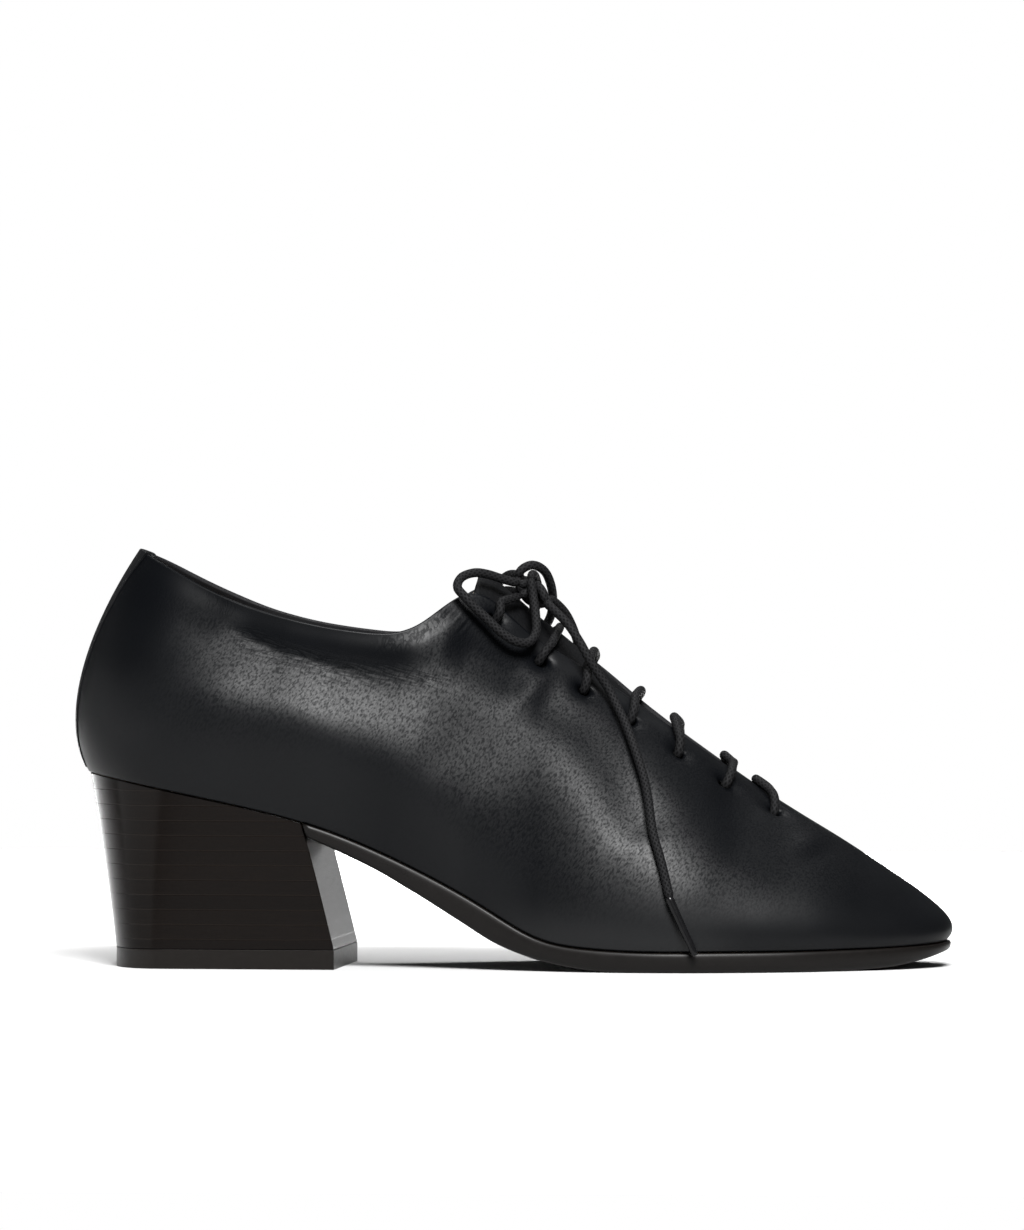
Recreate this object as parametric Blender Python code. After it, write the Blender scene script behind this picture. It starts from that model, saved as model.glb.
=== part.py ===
"""Heeled derby shoe for the right foot, standing empty on the floor.

Frame: +X to the toe, -Y to the outer side, +Z up, origin at the middle of the
footprint on the floor. The tables are in millimetres and the objects in metres.
"""
import math
from collections import namedtuple

import bmesh
import bpy
import numpy as np
from mathutils import Vector

MM = 0.001

# Driving sizes, in millimetres
LENGTH = 250.0
BALL_WIDTH = 79.0
INSTEP_HEIGHT = 106.6
BACK_HEIGHT = 118.4
SEAT_HEIGHT = 55.2
WALL = 1.8
GAP = 0.3
SOLE_STEP = 0.9
INSOLE_THICK = 2.0
LIFT_HEIGHT = 5.5
TONGUE_THICK = 1.4
STRIP_THICK = 0.7
STRIP_HALF_TOP = 8.5
STRIP_HALF_FOOT = 5.5
LACE_RADIUS = 1.3
AGLET_RADIUS = 1.25
AGLET_TAPER = 0.75
EYELET_RADIUS = 1.6
EYELET_COUNT = 7
EYELET_FIRST_X = 72.6
EYELET_PITCH_X = 12.75
EYELET_INSET_FIRST = 12.6
EYELET_INSET_TOP = 4.9

OUTER = -1
INNER = 1
SHARP_ANGLE = math.radians(40)

# The tables below are drawn for this length and width, and stretch with the driving sizes
DRAWN_LENGTH = 250.0
DRAWN_BALL_WIDTH = 79.0
CENTRE = np.array([0.62, 0.78, 0.0])
MERGE = 0.004
STRETCH = np.array([LENGTH / DRAWN_LENGTH, BALL_WIDTH / DRAWN_BALL_WIDTH, 1.0])

# Looks of the pieces
Look = namedtuple("Look", "colour roughness metallic")
LOOKS = {
    "upper_leather": Look((0.012, 0.013, 0.016), 0.42, 0.0),
    "insole_leather": Look((0.30, 0.21, 0.13), 0.6, 0.0),
    "sole_edge": Look((0.016, 0.012, 0.010), 0.35, 0.0),
    "heel_stack": Look((0.018, 0.014, 0.011), 0.3, 0.0),
    "top_lift_rubber": Look((0.012, 0.011, 0.010), 0.5, 0.0),
    "lace_cord": Look((0.008, 0.008, 0.009), 0.5, 0.0),
    "aglet_plastic": Look((0.010, 0.010, 0.011), 0.25, 0.0),
}

# The last, from the back of the heel to the tip of the toe. Each row is one section:
# the foot point where wall meets sole, the top point on collar, facing edge or ridge,
# and how far the wall swells out of the straight line at its foot and at its top.
Section = namedtuple(
    "Section",
    "name foot_x outer_y inner_y foot_z top_x top_outer_y top_inner_y top_z inner_rise "
    "low_out low_up top_out top_down slope",
)
SECTIONS = [
    Section("heel back", -121.9, 3.0, 3.0, SEAT_HEIGHT, -107.0, 2.6, 2.6, BACK_HEIGHT, 0.0,
            8.3, 14.5, 16.2, 24.2, 0.0),
    Section("heel round", -116.4, -12.8, 18.4, SEAT_HEIGHT - 0.8, -102.7, -8.6, 13.2, BACK_HEIGHT - 2.0, 0.0,
            7.8, 14.8, 13.5, 23.5, 0.0),
    Section("heel side", -103.0, -23.8, 26.0, SEAT_HEIGHT - 3.4, -93.0, -16.4, 19.8, BACK_HEIGHT - 7.1, 0.3,
            6.4, 14.8, 9.0, 22.0, 0.0),
    Section("heel middle", -82.5, -27.6, 25.9, SEAT_HEIGHT - 7.6, -77.0, -22.2, 23.2, BACK_HEIGHT - 14.5, 0.3,
            5.4, 14.5, 5.5, 20.0, 0.0),
    Section("breast", -60.0, -28.9, 23.2, SEAT_HEIGHT - 13.0, -58.5, -25.6, 24.2, BACK_HEIGHT - 20.0, 0.0,
            5.0, 14.5, 4.0, 18.0, 0.0),
    Section("rear waist", -40.0, -29.2, 20.9, 34.9, -41.0, -26.4, 24.2, BACK_HEIGHT - 22.8, 0.0,
            4.6, 16.0, 4.0, 18.0, 0.0),
    Section("waist", -22.0, -29.8, 20.8, 26.3, -25.5, -22.6, 21.6, INSTEP_HEIGHT - 8.7, -0.4,
            4.2, 18.0, 7.0, 21.0, 0.0),
    Section("throat corner", -7.0, -31.2, 22.6, 17.9, -10.8, -13.0, 15.6, INSTEP_HEIGHT, 1.1,
            4.2, 20.0, 12.0, 24.0, 0.25),
    Section("facing top", 7.0, -34.0, 26.2, 9.9, 3.0, -9.6, 13.0, INSTEP_HEIGHT - 10.2, 4.2,
            4.6, 20.0, 15.0, 19.0, 0.5),
    Section("facing", 21.0, -37.4, 30.6, 6.8, 19.0, -7.6, 11.6, INSTEP_HEIGHT - 20.6, 3.2,
            5.0, 19.0, 17.5, 14.5, 0.6),
    Section("facing middle", 38.0, -39.9, 35.6, 5.9, 36.5, -5.2, 10.0, INSTEP_HEIGHT - 32.4, 0.8,
            5.2, 17.5, 19.0, 10.0, 0.66),
    Section("ball", 55.0, -39.6, 38.6, 5.9, 54.5, -2.6, 8.0, INSTEP_HEIGHT - 45.2, 0.0,
            5.0, 15.5, 19.5, 5.5, 0.7),
    Section("vamp point", 76.0, -35.4, 37.6, 6.0, 76.5, 3.2, 3.2, 46.5, 0.0,
            4.6, 13.0, 19.0, 0.0, 0.62),
    Section("vamp", 92.0, -28.8, 34.0, 6.2, 91.0, 3.6, 3.6, 37.6, 0.0,
            3.9, 10.5, 17.0, 0.0, 0.62),
    Section("toe side", 106.4, -20.8, 28.6, 6.5, 102.0, 4.0, 4.0, 30.5, 0.0,
            3.3, 8.0, 14.0, 0.0, 0.67),
    Section("toe corner", 116.6, -12.6, 21.8, 6.9, 109.0, 4.3, 4.3, 25.8, 0.0,
            3.2, 6.0, 11.0, 0.0, 0.70),
    Section("toe front", 121.9, -4.6, 13.8, 7.3, 112.4, 4.5, 4.5, 23.5, 0.0,
            3.9, 4.6, 9.6, 0.0, 0.72),
    Section("tip", 123.1, 4.6, 4.6, 7.5, 113.6, 4.6, 4.6, 22.7, 0.0,
            4.3, 4.2, 9.4, 0.0, 0.73),
]
LAST_ROW = len(SECTIONS) - 1
VAMP_ROW = [s.name for s in SECTIONS].index("vamp point")
CORNER_ROW = [s.name for s in SECTIONS].index("throat corner")

# The underside of the sole from breast to tip: place along the shoe and height
SolePoint = namedtuple("SolePoint", "x z")
SOLE_BOTTOM = [
    SolePoint(-62.0, 38.9),
    SolePoint(-48.0, 32.9),
    SolePoint(-37.0, 27.7),
    SolePoint(-25.5, 21.2),
    SolePoint(-14.0, 14.0),
    SolePoint(-3.0, 7.4),
    SolePoint(8.5, 3.2),
    SolePoint(20.0, 0.9),
    SolePoint(30.0, 0.0),
    SolePoint(60.0, 0.0),
    SolePoint(92.0, 0.0),
    SolePoint(106.0, 0.7),
    SolePoint(116.0, 2.6),
    SolePoint(124.2, 5.4),
    SolePoint(127.0, 6.6),
]

# The heel's own axis, turned a little to the outer side of the shoe's
HEEL_TURN = math.radians(3.8)
HEEL_BREAST_X = -56.9
BREAST_LEAN = 0.3
HEEL_BASE_MIDDLE = (-47.9, -3.6)
HEEL_BASE_LENGTH = 65.4
HEEL_BASE_WIDTH = 49.0
HEEL_BASE_ROUND = 16.5


def spline_weights(t):
    """Weights of a uniform cubic B-spline at t within one span, and their slopes."""
    value = ((1 - t) ** 3, 3 * t ** 3 - 6 * t ** 2 + 4, -3 * t ** 3 + 3 * t ** 2 + 3 * t + 1, t ** 3)
    slope = (-3 * (1 - t) ** 2, 9 * t ** 2 - 12 * t, -9 * t ** 2 + 6 * t + 3, 3 * t ** 2)
    return np.array(value) / 6, np.array(slope) / 6


def section_ring():
    """All sections as one closed ring: outer side to the toe, inner side back to the heel."""
    outer = [[s.foot_x, s.outer_y, s.foot_z, s.top_x, s.top_outer_y, s.top_z, *s[10:]] for s in SECTIONS]
    inner = [[s.foot_x, s.inner_y, s.foot_z, s.top_x, s.top_inner_y, s.top_z + s.inner_rise, *s[10:]]
             for s in SECTIONS[-2:0:-1]]
    rows = np.array(outer + inner)
    count = len(rows)
    system = np.zeros((count, count))
    for i in range(count):
        system[i, i] = 4 / 6
        system[i, i - 1] = 1 / 6
        system[i, (i + 1) % count] = 1 / 6
    return np.linalg.solve(system, rows)


RING = section_ring()


def ring_values(side, u):
    """Section values at u rows from the heel back, with their slopes along u."""
    place = u if side == OUTER else -u
    first = math.floor(place)
    value, slope = spline_weights(place - first)
    rows = RING[[(first - 1 + k) % len(RING) for k in range(4)]]
    return value @ rows, (slope @ rows) * (1 if side == OUTER else -1)


def outline_normal(side, u):
    """Outward direction of the foot outline in plan."""
    _, slope = ring_values(side, u)
    turn = np.array([slope[1], -slope[0]]) * (1 if side == OUTER else -1)
    return turn / np.linalg.norm(turn)


def foot_point(side, u, out=0.0, up=0.0):
    """Point on the line where wall meets sole, moved out in plan and up."""
    value, _ = ring_values(side, u)
    nx, ny = outline_normal(side, u)
    return np.array([value[0] + nx * out, value[1] + ny * out, value[2] + up])


def bezier(points, t):
    """Point at t on the curve with four control points."""
    a, b, c, d = points
    w = 1 - t
    return w ** 3 * a + 3 * w * w * t * b + 3 * w * t * t * c + t ** 3 * d


def wall_curve(side, u):
    """The four control points of the wall's curve at u, from sole to top edge."""
    value, _ = ring_values(side, u)
    foot = value[0:3]
    top = value[3:6]
    if u >= VAMP_ROW:
        top = (top + ring_values(-side, u)[0][3:6]) / 2
    low_out, low_up, top_out, top_down, slope = value[6:]
    nx, ny = outline_normal(side, u)
    low = foot + np.array([nx * low_out, ny * low_out, low_up])
    high = top + np.array([nx * top_out, ny * top_out, -nx * top_out * slope - top_down])
    return foot, low, high, top


def wall_point(side, u, v):
    """Point on the outside of the upper: v is 0 at the sole and 1 at the top edge."""
    return bezier(wall_curve(side, u), v)


def wall_normal(side, u, v):
    """Outward direction of the upper's wall."""
    step = 0.01
    along = wall_point(side, min(u + step, LAST_ROW), v) - wall_point(side, max(u - step, 0), v)
    up = wall_point(side, u, min(v + step, 1)) - wall_point(side, u, max(v - step, 0))
    normal = np.cross(along, up) * (1 if side == OUTER else -1)
    return normal / np.linalg.norm(normal)


def row_at_foot_x(side, x):
    """The place u, forward of the heel back, where the foot outline is at x."""
    low, high = 0.0, float(LAST_ROW)
    while high - low > 1e-5:
        middle = (low + high) / 2
        if ring_values(side, middle)[0][0] < x:
            low = middle
        else:
            high = middle
    return low


def row_at_top_x(side, x):
    """The place u along the facing and vamp where the top edge is at x."""
    low, high = CORNER_ROW - 0.5, float(LAST_ROW)
    while high - low > 1e-5:
        middle = (low + high) / 2
        if wall_curve(side, middle)[3][0] < x:
            low = middle
        else:
            high = middle
    return low


def height_below_edge(side, u, distance):
    """The v that lies the given distance below the top edge, along the wall."""
    gone, v, before = 0.0, 1.0, wall_point(side, u, 1.0)
    while gone < distance:
        v -= 0.002
        here = wall_point(side, u, v)
        gone += np.linalg.norm(here - before)
        before = here
    return v


def eased(rows, x):
    """Height at x through the rows, without overshoot, flat where the rows are flat."""
    xs = [r.x for r in rows]
    zs = [r.z for r in rows]
    slopes = [(zs[i + 1] - zs[i]) / (xs[i + 1] - xs[i]) for i in range(len(rows) - 1)]
    tangents = [slopes[0]]
    for a, b in zip(slopes, slopes[1:]):
        tangents.append(0.0 if a * b <= 0 else 2 * a * b / (a + b))
    tangents.append(slopes[-1])
    i = min(max(int(np.searchsorted(xs, x)) - 1, 0), len(rows) - 2)
    step = xs[i + 1] - xs[i]
    t = (x - xs[i]) / step
    return ((1 + 2 * t) * (1 - t) ** 2 * zs[i] + t * (1 - t) ** 2 * step * tangents[i]
            + t * t * (3 - 2 * t) * zs[i + 1] + t * t * (t - 1) * step * tangents[i + 1])


def in_frame(point):
    """A point of the part's frame in metres, stretched to the driving sizes."""
    return Vector(point * STRETCH * MM)


def placed(point):
    """A point of the tables in the part's frame, in metres."""
    return in_frame(point + CENTRE)


def material(name):
    """The named look as a material."""
    look = LOOKS[name]
    made = bpy.data.materials.get(name) or bpy.data.materials.new(name)
    made.use_nodes = True
    shader = made.node_tree.nodes["Principled BSDF"]
    shader.inputs["Base Color"].default_value = (*look.colour, 1.0)
    shader.inputs["Roughness"].default_value = look.roughness
    shader.inputs["Metallic"].default_value = look.metallic
    return made


def new_object(name, bm, look):
    """A smooth-shaded mesh object from bm, with its material."""
    mesh = bpy.data.meshes.new(name)
    bm.to_mesh(mesh)
    bm.free()
    mesh.shade_smooth()
    mesh.set_sharp_from_angle(angle=SHARP_ANGLE)
    mesh.materials.append(material(look))
    obj = bpy.data.objects.new(name, mesh)
    bpy.context.collection.objects.link(obj)
    return obj


def skin(bm, columns, closed):
    """A sheet of quads through columns of points; closed joins the last to the first."""
    verts = [[bm.verts.new(placed(p)) for p in column] for column in columns]
    pairs = list(zip(verts, verts[1:]))
    if closed:
        pairs.append((verts[-1], verts[0]))
    for a, b in pairs:
        for k in range(len(a) - 1):
            bm.faces.new((a[k], b[k], b[k + 1], a[k + 1]))
    return verts


def lofted(name, rings, look):
    """A closed solid through closed rings of points, with both ends capped."""
    bm = bmesh.new()
    verts = [[bm.verts.new(placed(p)) for p in ring] for ring in rings]
    for a, b in zip(verts, verts[1:]):
        for k in range(len(a)):
            n = (k + 1) % len(a)
            bm.faces.new((a[k], a[n], b[n], b[k]))
    bm.faces.new(verts[0])
    bm.faces.new(verts[-1])
    bmesh.ops.remove_doubles(bm, verts=bm.verts, dist=MERGE * MM)
    bmesh.ops.recalc_face_normals(bm, faces=bm.faces)
    return new_object(name, bm, look)


def thickened(obj, thickness, inward):
    """Gives a sheet its real thickness, on the inner or the outer side."""
    wall = obj.modifiers.new("wall", "SOLIDIFY")
    wall.thickness = thickness * MM
    wall.offset = -1 if inward else 1
    wall.use_even_offset = True
    wall.use_quality_normals = True
    return obj


def spread(first, last, count):
    return [first + (last - first) * i / (count - 1) for i in range(count)]


def turned_outward(bm, inside):
    """Turns the sheet's faces away from a point inside the shoe."""
    bmesh.ops.recalc_face_normals(bm, faces=bm.faces)
    bm.faces.ensure_lookup_table()
    face = max(bm.faces, key=lambda f: (f.calc_center_median() - inside).length)
    if face.normal.dot(face.calc_center_median() - inside) < 0:
        bmesh.ops.reverse_faces(bm, faces=bm.faces)


# Eyelets

EYELET_X = [EYELET_FIRST_X - EYELET_PITCH_X * i for i in range(EYELET_COUNT)]
EYELET_INSETS = spread(EYELET_INSET_FIRST, EYELET_INSET_TOP, EYELET_COUNT)


def eyelet(side, index):
    """Place (u, v) of an eyelet, counted up from the vamp."""
    u = row_at_top_x(side, EYELET_X[index])
    return u, height_below_edge(side, u, EYELET_INSETS[index])


def cut_eyelet(bm, side, index):
    """Opens one round eyelet in the sheet where the nearest corner of the grid lies."""
    u, v = eyelet(side, index)
    centre = placed(wall_point(side, u, v))
    normal = Vector(wall_normal(side, u, v))
    inner_verts = [w for w in bm.verts if len(w.link_faces) == 4 and not w.is_boundary]
    corner = min(inner_verts, key=lambda w: (w.co - centre).length)
    corner.co = centre
    bmesh.ops.dissolve_verts(bm, verts=[corner])
    around = min(bm.faces, key=lambda f: (f.calc_center_median() - centre).length)
    bmesh.ops.inset_individual(bm, faces=[around], thickness=EYELET_RADIUS * MM * 0.5)
    for vert in around.verts:
        reach = vert.co - centre
        reach -= normal * reach.dot(normal)
        vert.co = centre + reach.normalized() * EYELET_RADIUS * MM
    bmesh.ops.delete(bm, geom=[around], context="FACES_ONLY")


# Upper

WALL_ROWS = (0.0, 0.04, 0.12, 0.23, 0.36, 0.5, 0.62, 0.72, 0.8, 0.865, 0.92, 0.965, 1.0)
COLUMNS_PER_ROW = 3


def build_upper():
    places = spread(0.0, LAST_ROW, LAST_ROW * COLUMNS_PER_ROW + 1)
    columns = [[wall_point(OUTER, u, v) for v in WALL_ROWS] for u in places]
    columns += [[wall_point(INNER, u, v) for v in WALL_ROWS] for u in places[-2:0:-1]]
    bm = bmesh.new()
    skin(bm, columns, True)
    bmesh.ops.remove_doubles(bm, verts=bm.verts, dist=MERGE * MM)
    turned_outward(bm, Vector((0.0, 0.0, 0.04)))
    for side in (OUTER, INNER):
        for index in range(EYELET_COUNT):
            cut_eyelet(bm, side, index)
    return thickened(new_object("upper", bm, "upper_leather"), WALL, True)


# Sole, insole and heel

BREAST_SLANT = math.tan(HEEL_TURN)
SOLE_TUCK = 1.6
SOLE_SECTIONS = 44
LEANING_SECTIONS = 5
INSOLE_SECTIONS = 40
HEEL_SEAT_INSET = 0.5
HEEL_SIDE_POINTS = 17
HEEL_LEVELS = 9
HEEL_SIDE_SHARE = 0.45


def breast_row(side, ahead=0.0):
    """The place u where the heel breast crosses the foot outline."""
    x = HEEL_BREAST_X
    for _ in range(12):
        u = row_at_foot_x(side, x)
        y = ring_values(side, u)[0][1]
        x = HEEL_BREAST_X + BREAST_SLANT * y + ahead
    return row_at_foot_x(side, x)


def paired_rows(start_outer, start_inner, count):
    """Places on both sides, from the starts to the tip."""
    return zip(spread(start_outer, LAST_ROW, count), spread(start_inner, LAST_ROW, count))


def sole_section(outer_u, inner_u, lean):
    """One section of the sole, from its top on the outer side; lean moves its foot forward."""
    ring = []
    for side, u, order in ((OUTER, outer_u, 1), (INNER, inner_u, -1)):
        edge = foot_point(side, u, SOLE_STEP, -GAP)
        lower = foot_point(side, u, SOLE_STEP - SOLE_TUCK)
        floor = eased(SOLE_BOTTOM, lower[0])
        thick = edge[2] - floor
        points = [edge]
        for out, share in ((0.25, 0.35), (-0.1, 0.75)):
            points.append(foot_point(side, u, SOLE_STEP + out, -GAP - share * thick))
        points.append(np.array([lower[0], lower[1], floor]))
        for point in points:
            point[0] += lean * (edge[2] - point[2])
        ring += points[::order]
    return ring


def build_outsole():
    rows = paired_rows(breast_row(OUTER, 2 * GAP), breast_row(INNER, 2 * GAP), SOLE_SECTIONS)
    leans = [BREAST_LEAN * max(0.0, 1 - i / LEANING_SECTIONS) for i in range(SOLE_SECTIONS)]
    rings = [sole_section(a, b, lean) for (a, b), lean in zip(rows, leans)]
    return lofted("outsole", rings, "sole_edge")


def build_insole():
    inset = -(WALL + GAP + 0.3)
    rings = []
    for u in spread(0.0, LAST_ROW, INSOLE_SECTIONS):
        ring = []
        for side, order in ((OUTER, 1), (INNER, -1)):
            low = foot_point(side, u, inset, 0.05)
            ring += [low, low + np.array([0.0, 0.0, INSOLE_THICK])][::order]
        rings.append(ring)
    return lofted("insole", rings, "insole_leather")


def heel_seat_ring():
    """Top edge of the heel, from the breast round the back to the breast."""
    sides = []
    for side in (OUTER, INNER):
        us = spread(breast_row(side), 0.0, HEEL_SIDE_POINTS)
        sides.append([foot_point(side, u, -HEEL_SEAT_INSET, -GAP) for u in us])
    return sides[0] + sides[1][-2::-1]


def heel_base_ring(height):
    """Foot of the heel: flat sides, rounded back, square breast."""
    along = np.array([math.cos(HEEL_TURN), -math.sin(HEEL_TURN)])
    across = np.array([math.sin(HEEL_TURN), math.cos(HEEL_TURN)])
    straight = HEEL_BASE_LENGTH - HEEL_BASE_ROUND
    half = HEEL_BASE_WIDTH / 2
    outer = []
    for t in spread(0.0, 1.0, HEEL_SIDE_POINTS):
        if t < HEEL_SIDE_SHARE:
            outer.append((-straight * t / HEEL_SIDE_SHARE, -half))
        else:
            angle = (t - HEEL_SIDE_SHARE) / (1 - HEEL_SIDE_SHARE) * math.pi / 2
            outer.append((-straight - HEEL_BASE_ROUND * math.sin(angle) ** 0.9,
                          -half * math.cos(angle) ** 0.9))
    both = outer + [(s, -r) for s, r in outer[-2::-1]]
    middle = np.array(HEEL_BASE_MIDDLE)
    return [np.array([*(middle + s * along + r * across), height]) for s, r in both]


def build_heel():
    top = heel_seat_ring()
    base = heel_base_ring(LIFT_HEIGHT + GAP)
    rings = []
    for level in spread(0.0, 1.0, HEEL_LEVELS):
        curve = level ** 0.92
        rings.append([a * (1 - level) + b * level + (b - a) * np.array([1, 1, 0]) * (curve - level)
                      for a, b in zip(top, base)])
    return lofted("heel", rings, "heel_stack")


def build_top_lift():
    return lofted("top_lift", [heel_base_ring(LIFT_HEIGHT), heel_base_ring(0.0)], "top_lift_rubber")


# Tongue and back strip

TONGUE_TOP_X = -9.5
TONGUE_FOOT_X = 74.0
TONGUE_COLUMNS = 18
TONGUE_ROWS = (16.0, 11.0, 6.0, 0.6)

# How far the tongue swells up between the facings, by the place along the shoe
SWELL_X = (-9.5, -5.0, 3.0, 14.0, 24.0, 36.0, 46.0)
TONGUE_SWELL = (0.4, 2.0, 2.6, 2.2, 1.6, 0.6, 0.0)


def under_facing(side, x):
    """Points below the facing at x, from the tongue's hem up to the facing's edge."""
    depth = WALL + GAP + 0.25
    u = row_at_top_x(side, x)
    heights = [height_below_edge(side, u, d) for d in TONGUE_ROWS]
    return [wall_point(side, u, v) - depth * wall_normal(side, u, v) for v in heights]


def build_tongue():
    columns = []
    for x in spread(TONGUE_TOP_X, TONGUE_FOOT_X, TONGUE_COLUMNS):
        left = under_facing(OUTER, x)
        right = under_facing(INNER, x)
        reach = np.linalg.norm(right[-1] - left[-1]) / 3
        left_way = (left[-1] - left[-2]) / np.linalg.norm(left[-1] - left[-2])
        right_way = (right[-1] - right[-2]) / np.linalg.norm(right[-1] - right[-2])
        swell = np.array([0.0, 0.0, np.interp(x, SWELL_X, TONGUE_SWELL)])
        bend = [left[-1], left[-1] + left_way * reach + swell,
                right[-1] + right_way * reach + swell, right[-1]]
        columns.append(left + [bezier(bend, t) for t in (0.25, 0.5, 0.75)] + right[::-1])
    bm = bmesh.new()
    skin(bm, columns, False)
    turned_outward(bm, Vector((0.0, 0.0, 0.02)))
    return thickened(new_object("tongue", bm, "upper_leather"), TONGUE_THICK, True)


STRIP_ROWS = (0.03, 0.1, 0.2, 0.32, 0.45, 0.58, 0.7, 0.82, 0.92, 1.0)


def strip_place(share, v):
    """Side and place u of a point across the back strip, share from -1 to 1."""
    half = STRIP_HALF_FOOT + (STRIP_HALF_TOP - STRIP_HALF_FOOT) * v
    side = OUTER if share < 0 else INNER
    per_row = np.linalg.norm(wall_point(side, 0.3, v) - wall_point(side, 0.0, v)) / 0.3
    return side, abs(share) * half / per_row


def build_back_strip():
    columns = []
    for share in spread(-1.0, 1.0, 9):
        column = []
        for v in STRIP_ROWS:
            side, u = strip_place(share, v)
            column.append(wall_point(side, u, v) + GAP * wall_normal(side, u, v))
        side, u = strip_place(share, 1.0)
        edge = wall_point(side, u, 1.0)
        normal = wall_normal(side, u, 1.0)
        up = edge - wall_point(side, u, 0.97)
        up /= np.linalg.norm(up)
        column.append(edge + 0.1 * normal + 0.35 * up)
        column.append(edge - 0.5 * WALL * normal + (GAP + 0.2) * up)
        column.append(edge - (WALL + 0.1) * normal + 0.35 * up)
        for v in (0.99, 0.94, 0.88):
            side, u = strip_place(share, v)
            column.append(wall_point(side, u, v) - (WALL + GAP) * wall_normal(side, u, v))
        columns.append(column)
    bm = bmesh.new()
    skin(bm, columns, False)
    turned_outward(bm, Vector((-0.05, 0.0, 0.08)))
    return thickened(new_object("back_strip", bm, "upper_leather"), STRIP_THICK, False)


# Lace

def smooth_line(points, steps):
    """A line through the points, with the given steps between each two."""
    points = [np.array(p, float) for p in points]
    padded = [2 * points[0] - points[1], *points, 2 * points[-1] - points[-2]]
    line = []
    for a, b, c, d in zip(padded, padded[1:], padded[2:], padded[3:]):
        for i in range(steps):
            t = i / steps
            line.append(0.5 * (2 * b + (c - a) * t + (2 * a - 5 * b + 4 * c - d) * t * t
                               + (3 * b - a - 3 * c + d) * t ** 3))
    return line + [points[-1]]


def build_cord(name, line, radius, look="lace_cord", end_share=1.0):
    """A round cord along a line in the part's frame; end_share is the width at its far end."""
    curve = bpy.data.curves.new(name, "CURVE")
    curve.dimensions = "3D"
    curve.bevel_depth = radius * MM
    curve.bevel_resolution = 2
    curve.use_fill_caps = True
    spline = curve.splines.new("POLY")
    spline.points.add(len(line) - 1)
    for i, (point, where) in enumerate(zip(spline.points, line)):
        point.co = (*in_frame(where), 1.0)
        point.radius = 1 + (end_share - 1) * i / (len(line) - 1)
    curve.materials.append(material(look))
    obj = bpy.data.objects.new(name, curve)
    bpy.context.collection.objects.link(obj)
    return obj


BAR_CLEAR = LACE_RADIUS + 0.6
NARROW_THROAT = 8.0

# How each bar crosses the throat: its lean along the shoe at the outer edge, at the crest and at the
# inner edge, and the crest's height over the edges
Bar = namedtuple("Bar", "near crest far rise")
BARS = [
    Bar(-2.4, -4.8, -3.2, -0.5), Bar(1.6, 1.4, -1.2, -0.2), Bar(-1.8, -2.6, -1.2, 1.0),
    Bar(-0.4, 0.6, 0.4, 1.4), Bar(-1.0, 0.0, 0.2, 2.6), Bar(1.6, 3.2, 2.4, 3.0),
]


def bar_half(side, index, lean=0.0):
    """The bar's line on one side: from above its eyelet up to the facing edge, leaning along the shoe."""
    _, v = eyelet(side, index)
    line = []
    for share in (0.0, 0.5, 1.0):
        u = row_at_top_x(side, EYELET_X[index] + lean * share)
        height = v + (1 - v) * share
        line.append(wall_point(side, u, height) + BAR_CLEAR * wall_normal(side, u, height) + CENTRE)
    return line


def build_lace_bars():
    for index, bar in enumerate(BARS):
        outer = bar_half(OUTER, index, bar.near)
        inner = bar_half(INNER, index, bar.far)
        crest = (bar_half(OUTER, index, bar.crest)[-1] + bar_half(INNER, index, bar.crest)[-1]) / 2
        top = crest + np.array([0.0, 0.0, bar.rise])
        if np.linalg.norm(outer[-1] - inner[-1]) < NARROW_THROAT:
            outer.pop()
            inner.pop()
        route = outer + [top] + inner[::-1]
        build_cord(f"lace_bar_{index + 1}", smooth_line(route, 2), LACE_RADIUS)


# The bow's routes in the part's frame, in millimetres, each from the knot outward
KNOT_CENTRE = (6.4, 0.4, 105.6)
KNOT_SIZE = (4.3, 4.4, 4.3)
OUTER_LEAD_TO = [(2.4, -4.6, 105.2)]
INNER_LEAD_TO = [(3.4, 5.8, 105.8)]
OUTER_LOOP = [
    (2.2, -4.6, 108.8), (-2.3, -6.6, 110.1), (-6.6, -8.8, 111.5), (-10.2, -11.0, 111.9),
    (-13.6, -13.6, 110.6), (-14.6, -16.4, 107.8), (-12.2, -18.0, 105.0), (-10.0, -18.2, 102.6),
    (-6.2, -18.2, 99.0), (-2.2, -18.2, 95.2), (1.8, -17.4, 92.6), (5.4, -15.2, 92.2),
    (7.4, -12.2, 95.0), (7.2, -9.0, 100.0), (6.4, -6.2, 105.0), (5.6, -5.4, 110.2),
]
INNER_LOOP = [
    (1.2, 1.6, 110.6), (3.0, 2.2, 113.0), (6.0, 3.8, 114.0), (9.0, 6.4, 112.2), (10.6, 9.4, 108.4),
    (11.0, 12.8, 103.8), (10.0, 17.4, 98.8), (7.0, 21.6, 95.0), (2.4, 24.6, 93.6), (-2.6, 25.6, 95.2),
    (-6.0, 24.4, 99.2), (-6.7, 21.2, 104.0), (-4.9, 16.9, 108.5), (-1.8, 12.2, 111.0), (0.8, 8.8, 111.2),
    (2.8, 6.4, 109.9),
]
OUTER_END = [
    (9.8, -4.2, 103.4), (12.0, -7.4, 101.6), (16.2, -10.2, 97.6), (19.8, -12.0, 92.4),
    (22.3, -12.8, 88.0), (25.2, -12.8, 83.4), (27.9, -12.8, 79.4), (30.2, -14.2, 74.8),
    (33.0, -17.2, 69.2), (36.0, -22.0, 61.7), (38.6, -26.6, 54.1), (39.9, -29.9, 48.1),
    (41.3, -34.2, 39.6), (43.9, -38.1, 30.9), (46.4, -41.0, 20.9),
]
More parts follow.
